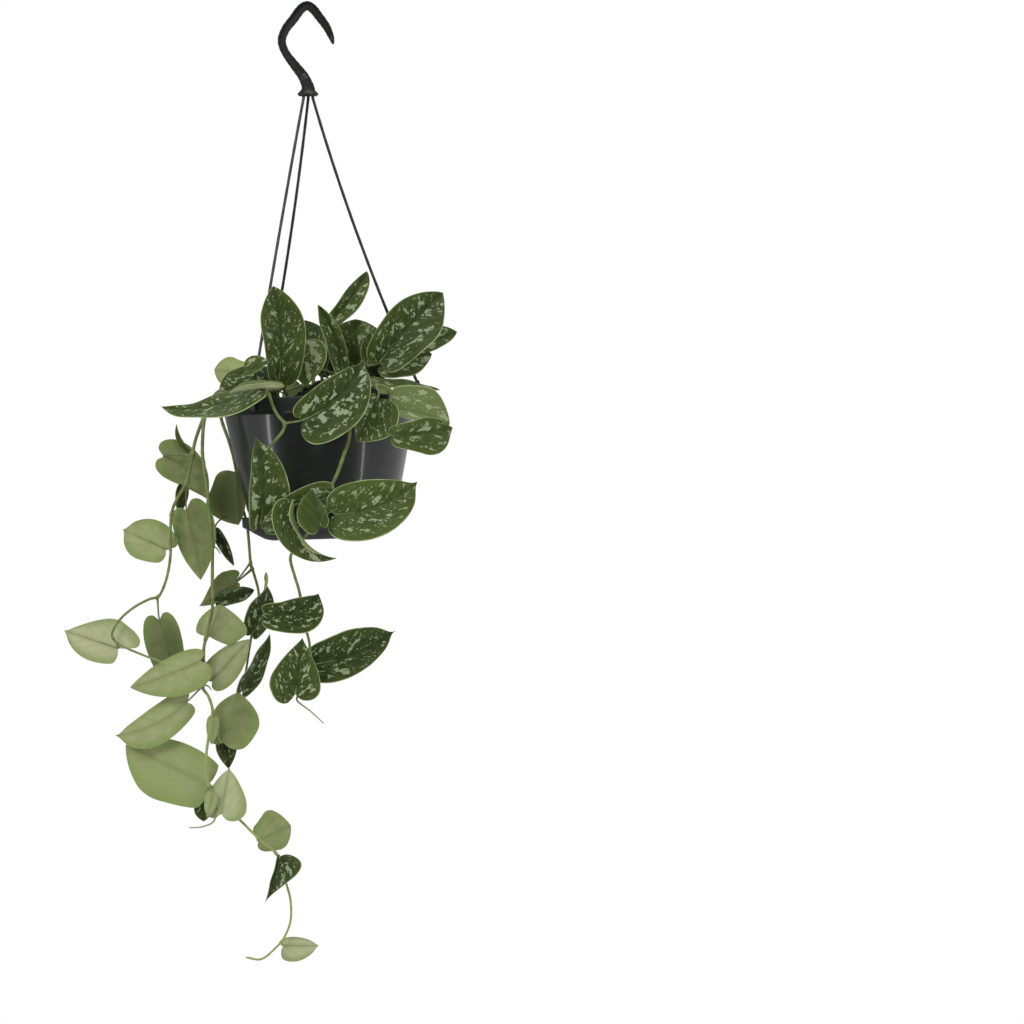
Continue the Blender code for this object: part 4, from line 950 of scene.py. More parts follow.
def damp_peat(settings):
    """Dark crumbly peat."""
    look = Surface("damp_peat", 0.95, 0.2)
    where = look.objects()
    clumps = look.step(look.noise(where, 240.0, 5.0, 0.7), 0.4, 0.7)
    look.bump(look.noise(where, 500.0, 5.0, 0.7), 0.9, 0.0015)
    return look.done(look.mix(clumps, settings.peat, shaded(settings.bark, 0.55)))


def bark_bits(settings):
    """Brown bits of bark, each a little lighter or darker."""
    look = Surface("bark_bits", 0.9, 0.2)
    where = look.objects()
    shade = look.step(look.noise(where, 130.0), 0.35, 0.65)
    look.bump(look.noise(where, 900.0, 4.0, 0.7), 0.7, 0.0008)
    return look.done(look.mix(shade, settings.peat, settings.bark))


# Leaves, stalks and stems


STEM_STEP = 0.0016
NODE_WIDTH = 0.0016
SCAR_OFFSET = 0.0012
SCAR_WIDTH = 0.0007
SCAR_BROWN = 0.7
FOOT_DEPTH = 0.014
FOOT_RISE = 0.003
STALK_POINTS = 12
STALK_EARLY = 0.35
STALK_LATE = 0.28
STALK_UNDER_RIB = (0.04, 0.10, 0.20, 0.34, 0.50, 0.66)
STALK_BELOW_RIB = 0.0004
# How a stalk's thickness changes along it
STALK_SHARES = (0, 0.06, 0.2, 0.64, 0.72, 1)
STALK_THICKNESS = (1.9, 1.35, 1.0, 0.85, 0.6, 0.12)
ROOT_POINTS = 14
ROOT_BROWN = 0.35
ROOT_TAPER = 0.45
SEED_PER_LEAF = 0.618
SEED_PER_VINE = 0.377
SEED_SPREAD = 61.0
STEM_SURFACE = 3
LEAF_SURFACES = []


def marked(mesh, shape, **values):
    """Gives a mesh the attributes that the leaf materials read, each 0 where no value is given."""
    for name in ("edge", "silver", "tone", "brown"):
        layer = mesh.attributes.new(name, "FLOAT", "POINT")
        value = np.broadcast_to(values.get(name, 0.0), shape)
        layer.data.foreach_set("value", np.ravel(value).astype(np.float32))
    layer = mesh.attributes.new("flat", "FLOAT_VECTOR", "POINT")
    flat = values.get("flat", np.zeros((*shape, 3)))
    layer.data.foreach_set("vector", np.ravel(flat).astype(np.float32))


def grown_blade(row, settings, seed):
    """A leaf's blade: a grid laid over the leaf's form, closed at its tip and given its thickness."""
    spots, along, across, edge = blade_surface(row, settings, seed)
    shape = sheet(spots)
    flat = np.stack([across / MILLIMETRE, along / MILLIMETRE, np.full(edge.shape, seed * SEED_SPREAD)], -1)
    marked(shape.data, edge.shape, flat=flat, edge=edge, silver=row.silver, tone=row.tone)
    welded(shape, GRID_WELD, bpy.ops.mesh.flip_normals)
    named(shape, "blade", *LEAF_SURFACES)
    step = shape.modifiers.new("thickness", "SOLIDIFY")
    step.thickness = settings.thickness
    step.offset = 0.0
    step.use_even_offset = False
    step.material_offset = 1
    step.material_offset_rim = 2
    return applied(shape)


def stalk_line(row, route):
    """A leaf's stalk, from inside the vine to a little way under its midrib."""
    start = on_route(route, row.at)
    rib = midrib(row)
    way = row.base - start
    early = start + way * STALK_EARLY
    late = row.base - rib.runs[0] * np.linalg.norm(way) * STALK_LATE
    line = []
    for share in np.linspace(0, 1, STALK_POINTS):
        rest = 1 - share
        line.append(
            rest ** 3 * start
            + 3 * rest ** 2 * share * early
            + 3 * rest * share ** 2 * late
            + share ** 3 * row.base
        )
    for share in STALK_UNDER_RIB:
        line.append(read_along(rib, rib.points, share) - read_along(rib, rib.ups, share) * STALK_BELOW_RIB)
    return np.array(line)


def green_rod(name, points, radii, sides=2, brown=0.0):
    """A stem, stalk or root, with the materials and attributes that a blade has."""
    bar = named(rod(name, points, radii, sides), name, *LEAF_SURFACES)
    marked(bar.data, (len(bar.data.vertices),), brown=brown)
    bar.data.polygons.foreach_set("material_index", [STEM_SURFACE] * len(bar.data.polygons))
    return bar


def soil_height(x, y):
    """The surface of the soil over a spot, measured from the pot's rim centre."""
    away = (x - SOIL_MOUND_OFFSET) ** 2 + y ** 2
    return SOIL_AT_WALL + SOIL_MOUND * math.exp(-away / (2 * SOIL_MOUND_SPREAD ** 2))


def vine_route(vine):
    """The vine's route in metres, from the bottom of its hole in the soil."""
    x, y, z = place(vine.foot[0], 0, vine.foot[1])
    beside = x - RIM_POINT[0]
    surface = RIM_POINT[2] + soil_height(beside, y) + beside * math.sin(POT_LEAN)
    foot = [np.array((x, y, surface - FOOT_DEPTH)), np.array((x, y, surface + FOOT_RISE))]
    return foot + [place(*row) for row in vine.route]


def grown_stem(vine, route, settings):
    """The stem, thicker at each node, with a brown scar round it there."""
    last = len(route) - 1
    length = sum(np.linalg.norm(b - a) for a, b in zip(route[:-1], route[1:]))
    places = np.linspace(0, last, max(12, round(length / STEM_STEP)) + 1)
    points = np.array([on_route(route, at) for at in places])
    points[:2, :2] = route[0][:2]
    walked = np.concatenate([[0], np.cumsum(np.linalg.norm(np.diff(points, axis=0), axis=1))])
    radii = np.interp(walked, [0, walked[-1]], vine.thick) * MILLIMETRE
    brown = np.zeros(len(points))
    for row in vine.leaves:
        beyond = walked - np.interp(min(row.at, last), places, walked)
        radii = radii * (1 + settings.swelling * np.exp(-(beyond / NODE_WIDTH) ** 2))
        brown = np.maximum(brown, SCAR_BROWN * np.exp(-((beyond - SCAR_OFFSET) / SCAR_WIDTH) ** 2))
    radii = radii * (1 + 0.05 * np.sin(walked * 900) + 0.04 * np.sin(walked * 2300 + 1))
    radii[-2:] *= (0.8, 0.45)
    stem = green_rod("stem", points, radii, 3)
    sites = np.array([vertex.co[:] for vertex in stem.data.vertices])
    away = ((sites[:, None, :] - points[None, ::2, :]) ** 2).sum(-1)
    nearest = np.argmin(away, axis=1) * 2
    stem.data.attributes["brown"].data.foreach_set("value", brown[nearest].astype(np.float32))
    return stem


def dressed_vine(vine, number, leaves, settings):
    """One leafy stem with its stalks, leaves and roots, as one piece."""
    route = vine_route(vine)
    pieces = [grown_stem(vine, route, settings)]
    for index, row in enumerate(vine.leaves):
        seed = (SEED_PER_LEAF * (index + 1) + SEED_PER_VINE * number) % 1.0
        pieces.append(grown_blade(row, leaves, seed))
        line = stalk_line(row, route)
        shares = np.linspace(0, 1, len(line))
        radii = vine.stalk * MILLIMETRE * np.interp(shares, STALK_SHARES, STALK_THICKNESS)
        pieces.append(green_rod("stalk", line, radii))
    for root, radius in vine.roots:
        line = smooth_line([place(*row) for row in root], ROOT_POINTS)
        radii = np.linspace(radius, radius * ROOT_TAPER, len(line)) * MILLIMETRE
        pieces.append(green_rod("root", line, radii, brown=ROOT_BROWN))
    whole = smooth(merged("dressed_" + vine.name, pieces), 50)
    finished(whole, vine.name)


class POTHOS_OT_dress_vines(bpy.types.Operator):
    """Grows the stems, leaf stalks, leaves and roots of every vine"""

    bl_idname = "pothos.dress_vines"
    bl_label = "Dress the vines"

    def execute(self, context):
        leaves = context.scene.pothos_leaves
        settings = context.scene.pothos_vines
        LEAF_SURFACES[:] = [upper_side(leaves), under_side(leaves), blade_rim(leaves), stem_green(settings)]
        for number, vine in enumerate(VINES):
            dressed_vine(vine, number, leaves, settings)
        return {"FINISHED"}


# Pot, saucer and soil


AXIS_RADIUS = 0.0004
RIM_LIP = 0.0040
RIM_EDGE = 0.0008
BAND_THICKNESS = 0.0013
BAND_ROOT = -0.0060
FOOT_STEP = -0.0842
FLOOR_TOP = -POT_HEIGHT + 0.0033
FOOT_RECESS = -POT_HEIGHT + 0.0015
DRAINS = 6
DRAIN_RING = 0.030
DRAIN_RADIUS = 0.004
DRAIN_DEPTH = 0.008
BAND_INSIDE = RIM_RADIUS - 0.005
BAND_BOTTOM = -RIM_HEIGHT - 0.0005
SAUCER_LIP = 0.0014
SAUCER_FLOOR = SAUCER_BASE + 0.0018
SOIL_RINGS = 46
SOIL_STEPS = 128
SOIL_BOTTOM = -POT_HEIGHT + 0.0036
SOIL_GAP = 0.0004
SOIL_SLOPE = 0.004
SOIL_AXIS_RADIUS = 0.0003
# Layer, fineness and height of the soil's lumps, the large and the small ones
SOIL_LUMPS = ((0.3, 160.0, 0.0011), (0.7, 520.0, 0.0007))
BIT_SEED = 7
BIT_FROM_WALL = 0.003
BIT_SMALLEST = 0.0006
BIT_SPREAD = 0.0016
BIT_FLATNESS = 0.55
BIT_TIP = 0.9
BIT_RISE = 0.2
BIT_ROUGHNESS = 0.35


def wall_radius(height):
    """The outside of the pot's tapered wall at a height below the rim."""
    share = (-height - RIM_HEIGHT) / (POT_HEIGHT - RIM_HEIGHT)
    return POT_NECK_RADIUS + (POT_FOOT_RADIUS - POT_NECK_RADIUS) * share


class POTHOS_OT_dress_pot(bpy.types.Operator):
    """Turns the tapered pot with its rim band and its drain holes"""

    bl_idname = "pothos.dress_pot"
    bl_label = "Dress the pot"

    def execute(self, context):
        settings = context.scene.pothos_pot
        rim_top = (RIM_RADIUS - RIM_LIP, 0.0)
        pot = turned("dressed_pot", [
            rim_top,
            (RIM_RADIUS - RIM_EDGE, 0.0),
            (RIM_RADIUS, -RIM_EDGE),
            (RIM_RADIUS - 0.0004, -RIM_HEIGHT + 0.0022),
            (RIM_RADIUS, -RIM_HEIGHT + 0.0016),
            (RIM_RADIUS, -RIM_HEIGHT),
            (RIM_RADIUS - BAND_THICKNESS, -RIM_HEIGHT),
            (RIM_RADIUS - BAND_THICKNESS, BAND_ROOT),
            (wall_radius(BAND_ROOT), BAND_ROOT),
            (wall_radius(-0.030), -0.030),
            (wall_radius(-0.060), -0.060),
            (wall_radius(FOOT_STEP), FOOT_STEP),
            (wall_radius(FOOT_STEP - 0.0008) - 0.0005, FOOT_STEP - 0.0008),
            (wall_radius(-POT_HEIGHT + 0.003), -POT_HEIGHT + 0.003),
            (POT_FOOT_RADIUS - 0.0015, -POT_HEIGHT),
            (0.046, -POT_HEIGHT),
            (0.044, FOOT_RECESS),
            (AXIS_RADIUS, FOOT_RECESS),
            (AXIS_RADIUS, FLOOR_TOP),
            (wall_radius(FLOOR_TOP) - WALL, FLOOR_TOP),
            (wall_radius(BAND_ROOT) - WALL, BAND_ROOT),
            (RIM_RADIUS - RIM_LIP - 0.0006, -RIM_EDGE),
            rim_top,
        ], settings.steps)
        spots = []
        for turn in range(DRAINS):
            angle = math.tau * (turn + 0.5) / DRAINS
            spots.append((DRAIN_RING * math.cos(angle), DRAIN_RING * math.sin(angle), -POT_HEIGHT + 0.002))
        drilled(pot, spots, DRAIN_RADIUS, DRAIN_DEPTH)
        edges_rounded(pot, settings.rounding)
        wall = black_plastic("pot_plastic", settings.plastic, 0.30, 900.0, gloss=0.6)
        band = black_plastic("band_plastic", settings.plastic, 0.42, 900.0, gloss=0.04, shine=0.16)
        named(pot, "dressed_pot", wall, band)
        for face in pot.data.polygons:
            x, y, z = face.center
            face.material_index = int(math.hypot(x, y) > BAND_INSIDE and z > BAND_BOTTOM)
        finished(smooth(placed(pot, POT_PLACE)), "pot")
        return {"FINISHED"}


class POTHOS_OT_dress_saucer(bpy.types.Operator):
    """Turns the saucer with its lip, its groove and its flat base"""

    bl_idname = "pothos.dress_saucer"
    bl_label = "Dress the saucer"

    def execute(self, context):
        settings = context.scene.pothos_pot
        lip_top = (SAUCER_RADIUS - SAUCER_LIP, SAUCER_TOP)
        saucer = turned("dressed_saucer", [
            lip_top,
            (SAUCER_RADIUS - 0.0003, SAUCER_TOP),
            (SAUCER_RADIUS, SAUCER_TOP - 0.0005),
            (SAUCER_RADIUS, -0.0962),
            (SAUCER_RADIUS - 0.0016, -0.0974),
            (SAUCER_RADIUS - 0.0040, -0.0982),
            (SAUCER_RADIUS - 0.0085, -0.1012),
            (SAUCER_BASE_RADIUS + 0.0055, -0.1058),
            (SAUCER_BASE_RADIUS, SAUCER_BASE),
            (0.024, SAUCER_BASE),
            (0.0236, SAUCER_BASE + 0.0005),
            (AXIS_RADIUS, SAUCER_BASE + 0.0005),
            (AXIS_RADIUS, SAUCER_BASE + 0.0016),
            (SAUCER_BASE_RADIUS, SAUCER_FLOOR),
            (0.0500, -0.1000),
            (0.0515, SAUCER_LEDGE),
            (SAUCER_RADIUS - 0.0018, SAUCER_LEDGE),
            lip_top,
        ], settings.steps)
        edges_rounded(saucer, settings.rounding)
        plastic = black_plastic("saucer_plastic", settings.plastic, 0.42, 900.0, gloss=0.08, shine=0.22)
        named(saucer, "dressed_saucer", plastic)
        finished(smooth(placed(saucer, POT_PLACE)), "saucer")
        return {"FINISHED"}


def soil_lift(x, y):
    """How far the soil's surface stands above its plain form at a spot."""
    return sum(height * noise.noise(Vector((x, y, z)) * scale) for z, scale, height in SOIL_LUMPS)


class POTHOS_OT_dress_soil(bpy.types.Operator):
    """Fills the pot with crumbly peat and bits of bark"""

    bl_idname = "pothos.dress_soil"
    bl_label = "Dress the soil"

    def execute(self, context):
        settings = context.scene.pothos_soil
        radius = wall_radius(SOIL_AT_WALL) - WALL - SOIL_GAP
        foot = wall_radius(SOIL_BOTTOM) - WALL - SOIL_GAP
        middle = (SOIL_AXIS_RADIUS, SOIL_AT_WALL)
        rings = [(radius * ring / SOIL_RINGS, SOIL_AT_WALL) for ring in range(1, SOIL_RINGS + 1)]
        bottom = [(foot, SOIL_BOTTOM), (SOIL_AXIS_RADIUS, SOIL_BOTTOM)]
        soil = turned("soil_bed", [middle, *rings, *bottom, middle], SOIL_STEPS)
        for vertex in soil.data.vertices:
            x, y, z = vertex.co
            inside = radius - math.hypot(x, y)
            if z > SOIL_BOTTOM + 0.001 and inside > SOIL_GAP:
                vertex.co.z = soil_height(x, y) + soil_lift(x, y) * min(1.0, inside / SOIL_SLOPE)
        named(soil, "soil_bed", damp_peat(settings))
        whole = merged("dressed_soil", [soil] + self.bits(settings, radius))
        finished(smooth(placed(whole, POT_PLACE), 60), "soil")
        return {"FINISHED"}

    def bits(self, settings, radius):
        """Bits of bark, scattered over the soil and turned every way, each copied from one."""
        draw = np.random.default_rng(BIT_SEED)
        nothing_selected()
        bpy.ops.mesh.primitive_ico_sphere_add(subdivisions=1, radius=1.0)
        first = named(bpy.context.object, "bit", bark_bits(settings))
        plain = np.array([vertex.co[:] for vertex in first.data.vertices])
        found = [first]
        for number in range(settings.crumbs):
            bit = first.copy()
            bit.data = first.data.copy()
            bpy.context.scene.collection.objects.link(bit)
            found.append(bit)
        for bit in found:
            away = (radius - BIT_FROM_WALL) * math.sqrt(draw.random())
            angle = math.tau * draw.random()
            x, y = away * math.cos(angle), away * math.sin(angle)
            size = BIT_SMALLEST + BIT_SPREAD * draw.random() ** 2
            stretch = Matrix.Diagonal((size * (1 + draw.random()), size, size * BIT_FLATNESS, 1.0))
            turn = Matrix.Rotation(math.tau * draw.random(), 4, "Z")
            tip = Matrix.Rotation(BIT_TIP * (draw.random() - 0.5), 4, "X")
            spot = Matrix.Translation((x, y, soil_height(x, y) + soil_lift(x, y) + size * BIT_RISE))
            rough = plain * (1 + BIT_ROUGHNESS * (draw.random((len(plain), 1)) - 0.5))
            bit.data.vertices.foreach_set("co", rough.reshape(-1).astype(np.float32))
            bit.data.transform(spot @ turn @ tip @ stretch)
        return found


# Hook and strands


Strand = namedtuple("Strand", "across depth angle sag")

# Across, down and half the bar's width, from the hook's tip to its collar
HOOK_LINE = (
    (333.2, 44.0, 1.2), (331.2, 37.0, 3.0), (326.6, 27.0, 4.0), (319.0, 16.5, 4.4), (313.0, 9.0, 4.6),
    (307.2, 5.8, 4.7), (301.0, 9.0, 4.7), (293.5, 19.0, 4.7), (285.5, 29.5, 4.4), (281.8, 41.0, 4.2),
    (285.5, 52.5, 4.1), (294.5, 65.0, 4.7), (303.0, 76.0, 5.4), (307.6, 86.0, 6.2), (308.2, 92.5, 7.6),
)
HOOK_HALF_THICK = 0.0028
HOOK_WEB = 0.0010
HOOK_EDGE = 0.0011
HOOK_STATIONS = 168
HOOK_WELD = 0.000002
HOLLOW_STARTS = 0.055
HOLLOW_ENDS = 0.875
HOLLOW_STEEPNESS = 40
NOTCHES = 30
NOTCH_DEPTH = 0.30
COLLAR_ACROSS = 308.0
COLLAR_NECK = 0.0038
SOCKET_RADIUS = 0.0015
SOCKET_DEPTH = 0.0044
STRANDS = {
    "strand_left": Strand(303.6, -1.6, 230.0, -1.0),
    "strand_back": Strand(308.2, 3.4, 124.0, 3.0),
    "strand_right": Strand(312.8, -1.6, 2.0, -5.5),
}
STRAND_IN_COLLAR = 0.0019
STRAND_DROP = 0.0032
STRAND_SHARES = np.linspace(0.04, 1.0, 40)
STRAND_AT_CLIP = (RIM_RADIUS - 0.0012, 0.0, 0.0090)
STRAND_END = (RIM_RADIUS - 0.0016, 0.0, 0.0035)
CLIP_HALF_WIDTH = 0.0022
CLIP_ROUNDING = 0.0003
CLIP_PLATE = 0.0016
CLIP_TOP = 0.0100
INNER_LEG = RIM_RADIUS - 0.0052
OUTER_LEG = RIM_RADIUS + 0.0003
# Radius and height of each corner
CLIP_OUTLINE = (
    (INNER_LEG - CLIP_PLATE, -0.0055),
    (INNER_LEG, -0.0055),
    (INNER_LEG, 0.0003),
    (OUTER_LEG, 0.0003),
    (OUTER_LEG, -0.0095),
    (OUTER_LEG + CLIP_PLATE, -0.0095),
    (OUTER_LEG + 0.0022, 0.0015),
    (RIM_RADIUS + 0.0004, CLIP_TOP),
    (RIM_RADIUS - 0.0022, CLIP_TOP),
    (INNER_LEG - CLIP_PLATE, 0.0022),
)


def hook_section(half, depth):
    """The I-shaped section of the hook's bar: half its width, and how deep its two hollows are."""
    thick = HOOK_HALF_THICK
    flange = min(HOOK_EDGE, half * 0.45)
    floor = thick - depth
    slope = flange + 0.35 * depth
    quarter = [(half, 0.0), (half, thick), (half - flange, thick), (half - slope, floor), (0.0, floor)]
    top = quarter + [(-x, y) for x, y in quarter[-2::-1]]
    return top + [(x, -y) for x, y in top[-2:0:-1]]


def ends_closed():
    """Fills the open ends of the shape in edit mode, and turns its faces outwards."""
    bpy.ops.mesh.select_all(action="DESELECT")
    bpy.ops.mesh.select_mode(type="EDGE")
    bpy.ops.mesh.select_non_manifold()
    bpy.ops.mesh.edge_face_add()
    bpy.ops.mesh.select_all(action="SELECT")
    bpy.ops.mesh.normals_make_consistent()


def hook_bar():
    """The bar of the hook, a ring of its section at each station of its line."""
    line = smooth_line(HOOK_LINE, HOOK_STATIONS)
    rings = []
    for index, (across, down, half) in enumerate(line):
        before = line[max(index - 1, 0)]
        after = line[min(index + 1, len(line) - 1)]
        run = unit((after[0] - before[0], after[1] - before[1]))
        share = index / HOOK_STATIONS
        inside = min(share - HOLLOW_STARTS, HOLLOW_ENDS - share) * HOLLOW_STEEPNESS
        hollow = min(1.0, max(0.0, inside)) * (HOOK_HALF_THICK - HOOK_WEB)
        notch = NOTCH_DEPTH * max(0.0, math.sin(math.tau * share * NOTCHES)) ** 3
        ring = []
        for x, y in hook_section((half - notch) * GRID, hollow):
            ring.append(place(across + run[1] * x / GRID, down - run[0] * x / GRID, y / MILLIMETRE))
        rings.append(ring + ring[:1])
    return welded(sheet(np.array(rings)), HOOK_WELD, ends_closed)


class POTHOS_OT_dress_hook(bpy.types.Operator):
    """Bends the hook's bar over its collar, which has a socket for each strand"""

    bl_idname = "pothos.dress_hook"
    bl_label = "Dress the hook"

    def execute(self, context):
        settings = context.scene.pothos_hook
        bar = hook_bar()
        neck = (0.0042, COLLAR_TOP + COLLAR_NECK)
        collar = turned("collar", [
            neck,
            (0.0047, COLLAR_TOP + 0.0018),
            (0.0058, COLLAR_TOP + 0.0004),
            (COLLAR_RADIUS - 0.0009, COLLAR_TOP - 0.0006),
            (COLLAR_RADIUS, COLLAR_TOP - 0.0016),
            (COLLAR_RADIUS - 0.0001, COLLAR_BASE + 0.0009),
            (COLLAR_RADIUS - 0.0014, COLLAR_BASE),
            (AXIS_RADIUS, COLLAR_BASE),
            (AXIS_RADIUS, COLLAR_TOP + COLLAR_NECK),
            neck,
        ], 64)
        placed(collar, Matrix.Translation((place(COLLAR_ACROSS, 0, 0)[0], 0, 0)))
        spots = []
        for strand in STRANDS.values():
            x, y, z = place(strand.across, 0, strand.depth)
            spots.append((x, y, COLLAR_BASE))
        drilled(collar, spots, SOCKET_RADIUS, SOCKET_DEPTH)
        surface = black_plastic("hook_plastic", settings.plastic, 0.44, 700.0, gloss=0.08, shine=0.30)
        edges_rounded(collar, settings.rounding)
        edges_rounded(bar, settings.rounding, 2, 50)
        named(collar, "collar", surface)
        named(bar, "bar", surface)
        finished(smooth(merged("dressed_hook", [bar, collar]), 45), "hook")
        return {"FINISHED"}


def strand_clip(matrix):
    """The clip that straddles the rim, cut from a plate and rounded."""
    outline = [(x, z, 0.0) for x, z in CLIP_OUTLINE]
    clip = drawn_curve(
        "clip", outline, [1.0] * len(outline), dimensions="2D", fill_mode="BOTH", extrude=CLIP_HALF_WIDTH
    )
    welded(clip, WELD, bpy.ops.mesh.normals_make_consistent)
    clip.data.transform(Matrix.Rotation(math.radians(90), 4, "X"))
    return placed(edges_rounded(clip, CLIP_ROUNDING), matrix)


def strand_line(strand, on_rim):
    """The strand's line from the collar, with its sag, to the inside of its clip."""
    x, y, z = place(strand.across, 0, strand.depth)
    top = Vector((x, y, COLLAR_BASE + STRAND_IN_COLLAR))
    leave = top - Vector((0, 0, STRAND_DROP))
    clip_top = on_rim @ Vector(STRAND_AT_CLIP)
    line = [top, leave]
    for share in STRAND_SHARES:
        bend = 4 * share * (1 - share) * strand.sag * GRID
        line.append(leave.lerp(clip_top, share) + Vector((bend, 0, 0)))
    return line + [on_rim @ Vector(STRAND_END)]


class POTHOS_OT_dress_strands(bpy.types.Operator):
    """Runs the three strands from the collar to their clips on the rim"""

    bl_idname = "pothos.dress_strands"
    bl_label = "Dress the strands"

    def execute(self, context):
        settings = context.scene.pothos_hook
        surface = black_plastic("strand_plastic", settings.plastic, 0.34, 500.0)
        for name, strand in STRANDS.items():
            on_rim = POT_PLACE @ Matrix.Rotation(math.radians(strand.angle), 4, "Z")
            clip = strand_clip(on_rim)
            line = strand_line(strand, on_rim)
            radii = [STRAND_RADIUS * (1 + 0.05 * math.sin(1.9 * number)) for number in range(len(line))]
            bar = rod("bar", line, radii, 4)
            whole = named(merged("dressed_" + name, [bar, clip]), "dressed_" + name, surface)
            finished(smooth(whole, 40), name)
        return {"FINISHED"}


# Stage


FLOOR_SIZE = 12.0
FLOOR_HEIGHT = -1.25
LAMP_TARGET = (0.0, 0.0, -0.36)
# Name, place, width, height and share of the key's power
LAMPS = (
    ("key_softbox", (-1.6, -2.6, 1.3), 1.4, 1.4, 1.0),
    ("fill_softbox", (2.2, -2.6, 0.2), 1.2, 1.6, 0.45),
    ("top_softbox", (0.0, 0.3, 2.0), 1.8, 1.8, 0.55),
    ("left_strip", (-1.5, -0.606, -0.5), 0.09, 1.4, 0.065),
    ("right_strip", (1.41, -0.785, -0.5), 0.035, 1.4, 0.035),
)
# How bright the surroundings are in a mirroring surface, from the left (0) to the right (1)
MIRRORED_LIGHT = ((0.0, 1.05), (0.05, 0.85), (0.14, 0.36), (0.42, 0.36), (0.56, 0.95))
PICTURE_STEPS = 1024
SENSOR_WIDTH = 36.0
FLOOR_COLOUR = (0.86, 0.86, 0.85)


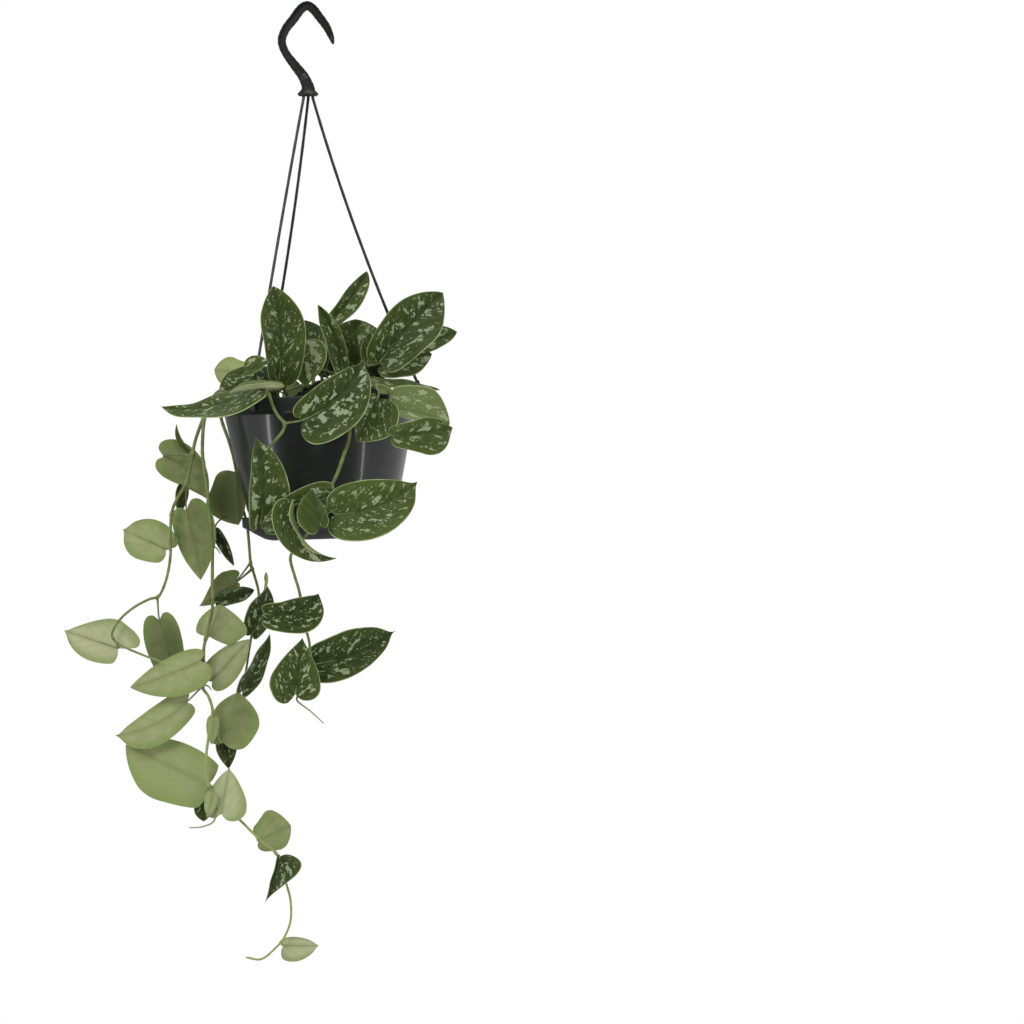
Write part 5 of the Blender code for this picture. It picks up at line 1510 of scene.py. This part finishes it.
class POTHOS_OT_set_stage(bpy.types.Operator):
    """Sets the pale floor, the soft studio light and the level camera"""

    bl_idname = "pothos.set_stage"
    bl_label = "Set the stage"

    def execute(self, context):
        settings = context.scene.pothos_stage
        nothing_selected()
        bpy.ops.mesh.primitive_plane_add(size=FLOOR_SIZE, location=(0, 0, FLOOR_HEIGHT))
        floor = bpy.context.object
        floor.name = "floor"
        floor.data.materials.append(Surface("pale_floor", 0.8, 0.2).done(FLOOR_COLOUR))
        floor.visible_glossy = False
        for name, spot, width, height, share in LAMPS:
            bpy.ops.object.light_add(type="AREA", location=spot)
            lamp = bpy.context.object
            lamp.name = name
            lamp.data.shape = "RECTANGLE"
            lamp.data.size = width
            lamp.data.size_y = height
            lamp.data.energy = settings.key * share
            aim = Vector(LAMP_TARGET) - Vector(spot)
            lamp.rotation_euler = aim.to_track_quat("-Z", "Y").to_euler()
        self.sky(context.scene, settings)
        x, y, z = place(PICTURE_STEPS / 2, PICTURE_STEPS / 2, 0)
        bpy.ops.object.camera_add(location=(x, -settings.distance, z), rotation=(math.radians(90), 0, 0))
        camera = bpy.context.object
        camera.data.sensor_width = SENSOR_WIDTH
        camera.data.lens = SENSOR_WIDTH * settings.distance / (PICTURE_STEPS * GRID)
        camera.data.clip_end = 100.0
        context.scene.camera = camera
        context.scene.view_settings.view_transform = "Standard"
        return {"FINISHED"}

    def sky(self, scene, settings):
        """White surroundings that are dimmer on the viewer's side, and plain white behind.

        What the plastic mirrors is dimmer on the left too, by the stops of MIRRORED_LIGHT.
        """
        scene.world = bpy.data.worlds.new("white_studio")
        scene.world.use_nodes = True
        scene.world.node_tree.nodes.clear()
        look = Graph(scene.world.node_tree)
        right, away, up = look.split(look.node("ShaderNodeTexCoord", "Generated"))
        side = look.step(away, -0.95, -0.1, 0.12, 1.0)
        across = look.node("ShaderNodeMath", 0, {0: right, 1: 0.5, 2: 0.5}, operation="MULTIPLY_ADD")
        mirrored = look.node("ShaderNodeValToRGB", 0, {0: across})
        ramp = mirrored.socket.node.color_ramp
        ramp.interpolation = "EASE"
        while len(ramp.elements) < len(MIRRORED_LIGHT):
            ramp.elements.new(0.5)
        for stop, (spot, level) in zip(ramp.elements, MIRRORED_LIGHT):
            stop.position = spot
            stop.color = (level, level, level, 1)
        glossy = look.node("ShaderNodeLightPath", "Is Glossy Ray")
        seen = look.node("ShaderNodeLightPath", "Is Camera Ray")
        dimmed = look.node("ShaderNodeMix", 0, {0: glossy, 2: 1.0, 3: mirrored})
        around = look.node("ShaderNodeBackground", 0, {"Strength": side * dimmed * settings.sky})
        behind = look.node("ShaderNodeBackground", 0, {"Color": (1, 1, 1), "Strength": 1.0})
        either = look.node("ShaderNodeMixShader", 0, {0: seen, 1: around, 2: behind})
        look.wire(either, look.tree.nodes.new("ShaderNodeOutputWorld").inputs["Surface"])


class POTHOS_PT_panel(bpy.types.Panel):
    """Lists the steps that dress the plant"""

    bl_label = "Hanging satin pothos"
    bl_idname = "POTHOS_PT_panel"
    bl_space_type = "VIEW_3D"
    bl_region_type = "UI"
    bl_category = "Pothos"

    def draw(self, context):
        for step in STEPS:
            self.layout.operator(step.bl_idname)
        for name in SETTINGS:
            settings = getattr(context.scene, name)
            box = self.layout.box()
            for key in type(settings).__annotations__:
                box.prop(settings, key)


STEPS = (
    POTHOS_OT_dress_vines,
    POTHOS_OT_dress_pot,
    POTHOS_OT_dress_saucer,
    POTHOS_OT_dress_soil,
    POTHOS_OT_dress_hook,
    POTHOS_OT_dress_strands,
    POTHOS_OT_set_stage,
)
SETTINGS = {
    "pothos_leaves": LeafSettings,
    "pothos_vines": VineSettings,
    "pothos_pot": PotSettings,
    "pothos_hook": HookSettings,
    "pothos_soil": SoilSettings,
    "pothos_stage": StageSettings,
}


def register():
    for name, group in SETTINGS.items():
        bpy.utils.register_class(group)
        setattr(bpy.types.Scene, name, PointerProperty(type=group))
    for step in STEPS:
        bpy.utils.register_class(step)
    bpy.utils.register_class(POTHOS_PT_panel)


def unregister():
    bpy.utils.unregister_class(POTHOS_PT_panel)
    for step in reversed(STEPS):
        bpy.utils.unregister_class(step)
    for name, group in reversed(list(SETTINGS.items())):
        delattr(bpy.types.Scene, name)
        bpy.utils.unregister_class(group)


def main():
    register()
    bpy.ops.pothos.set_stage()
    bpy.ops.pothos.dress_pot()
    bpy.ops.pothos.dress_saucer()
    bpy.ops.pothos.dress_soil()
    bpy.ops.pothos.dress_hook()
    bpy.ops.pothos.dress_strands()
    bpy.ops.pothos.dress_vines()


if __name__ == "__main__":
    main()
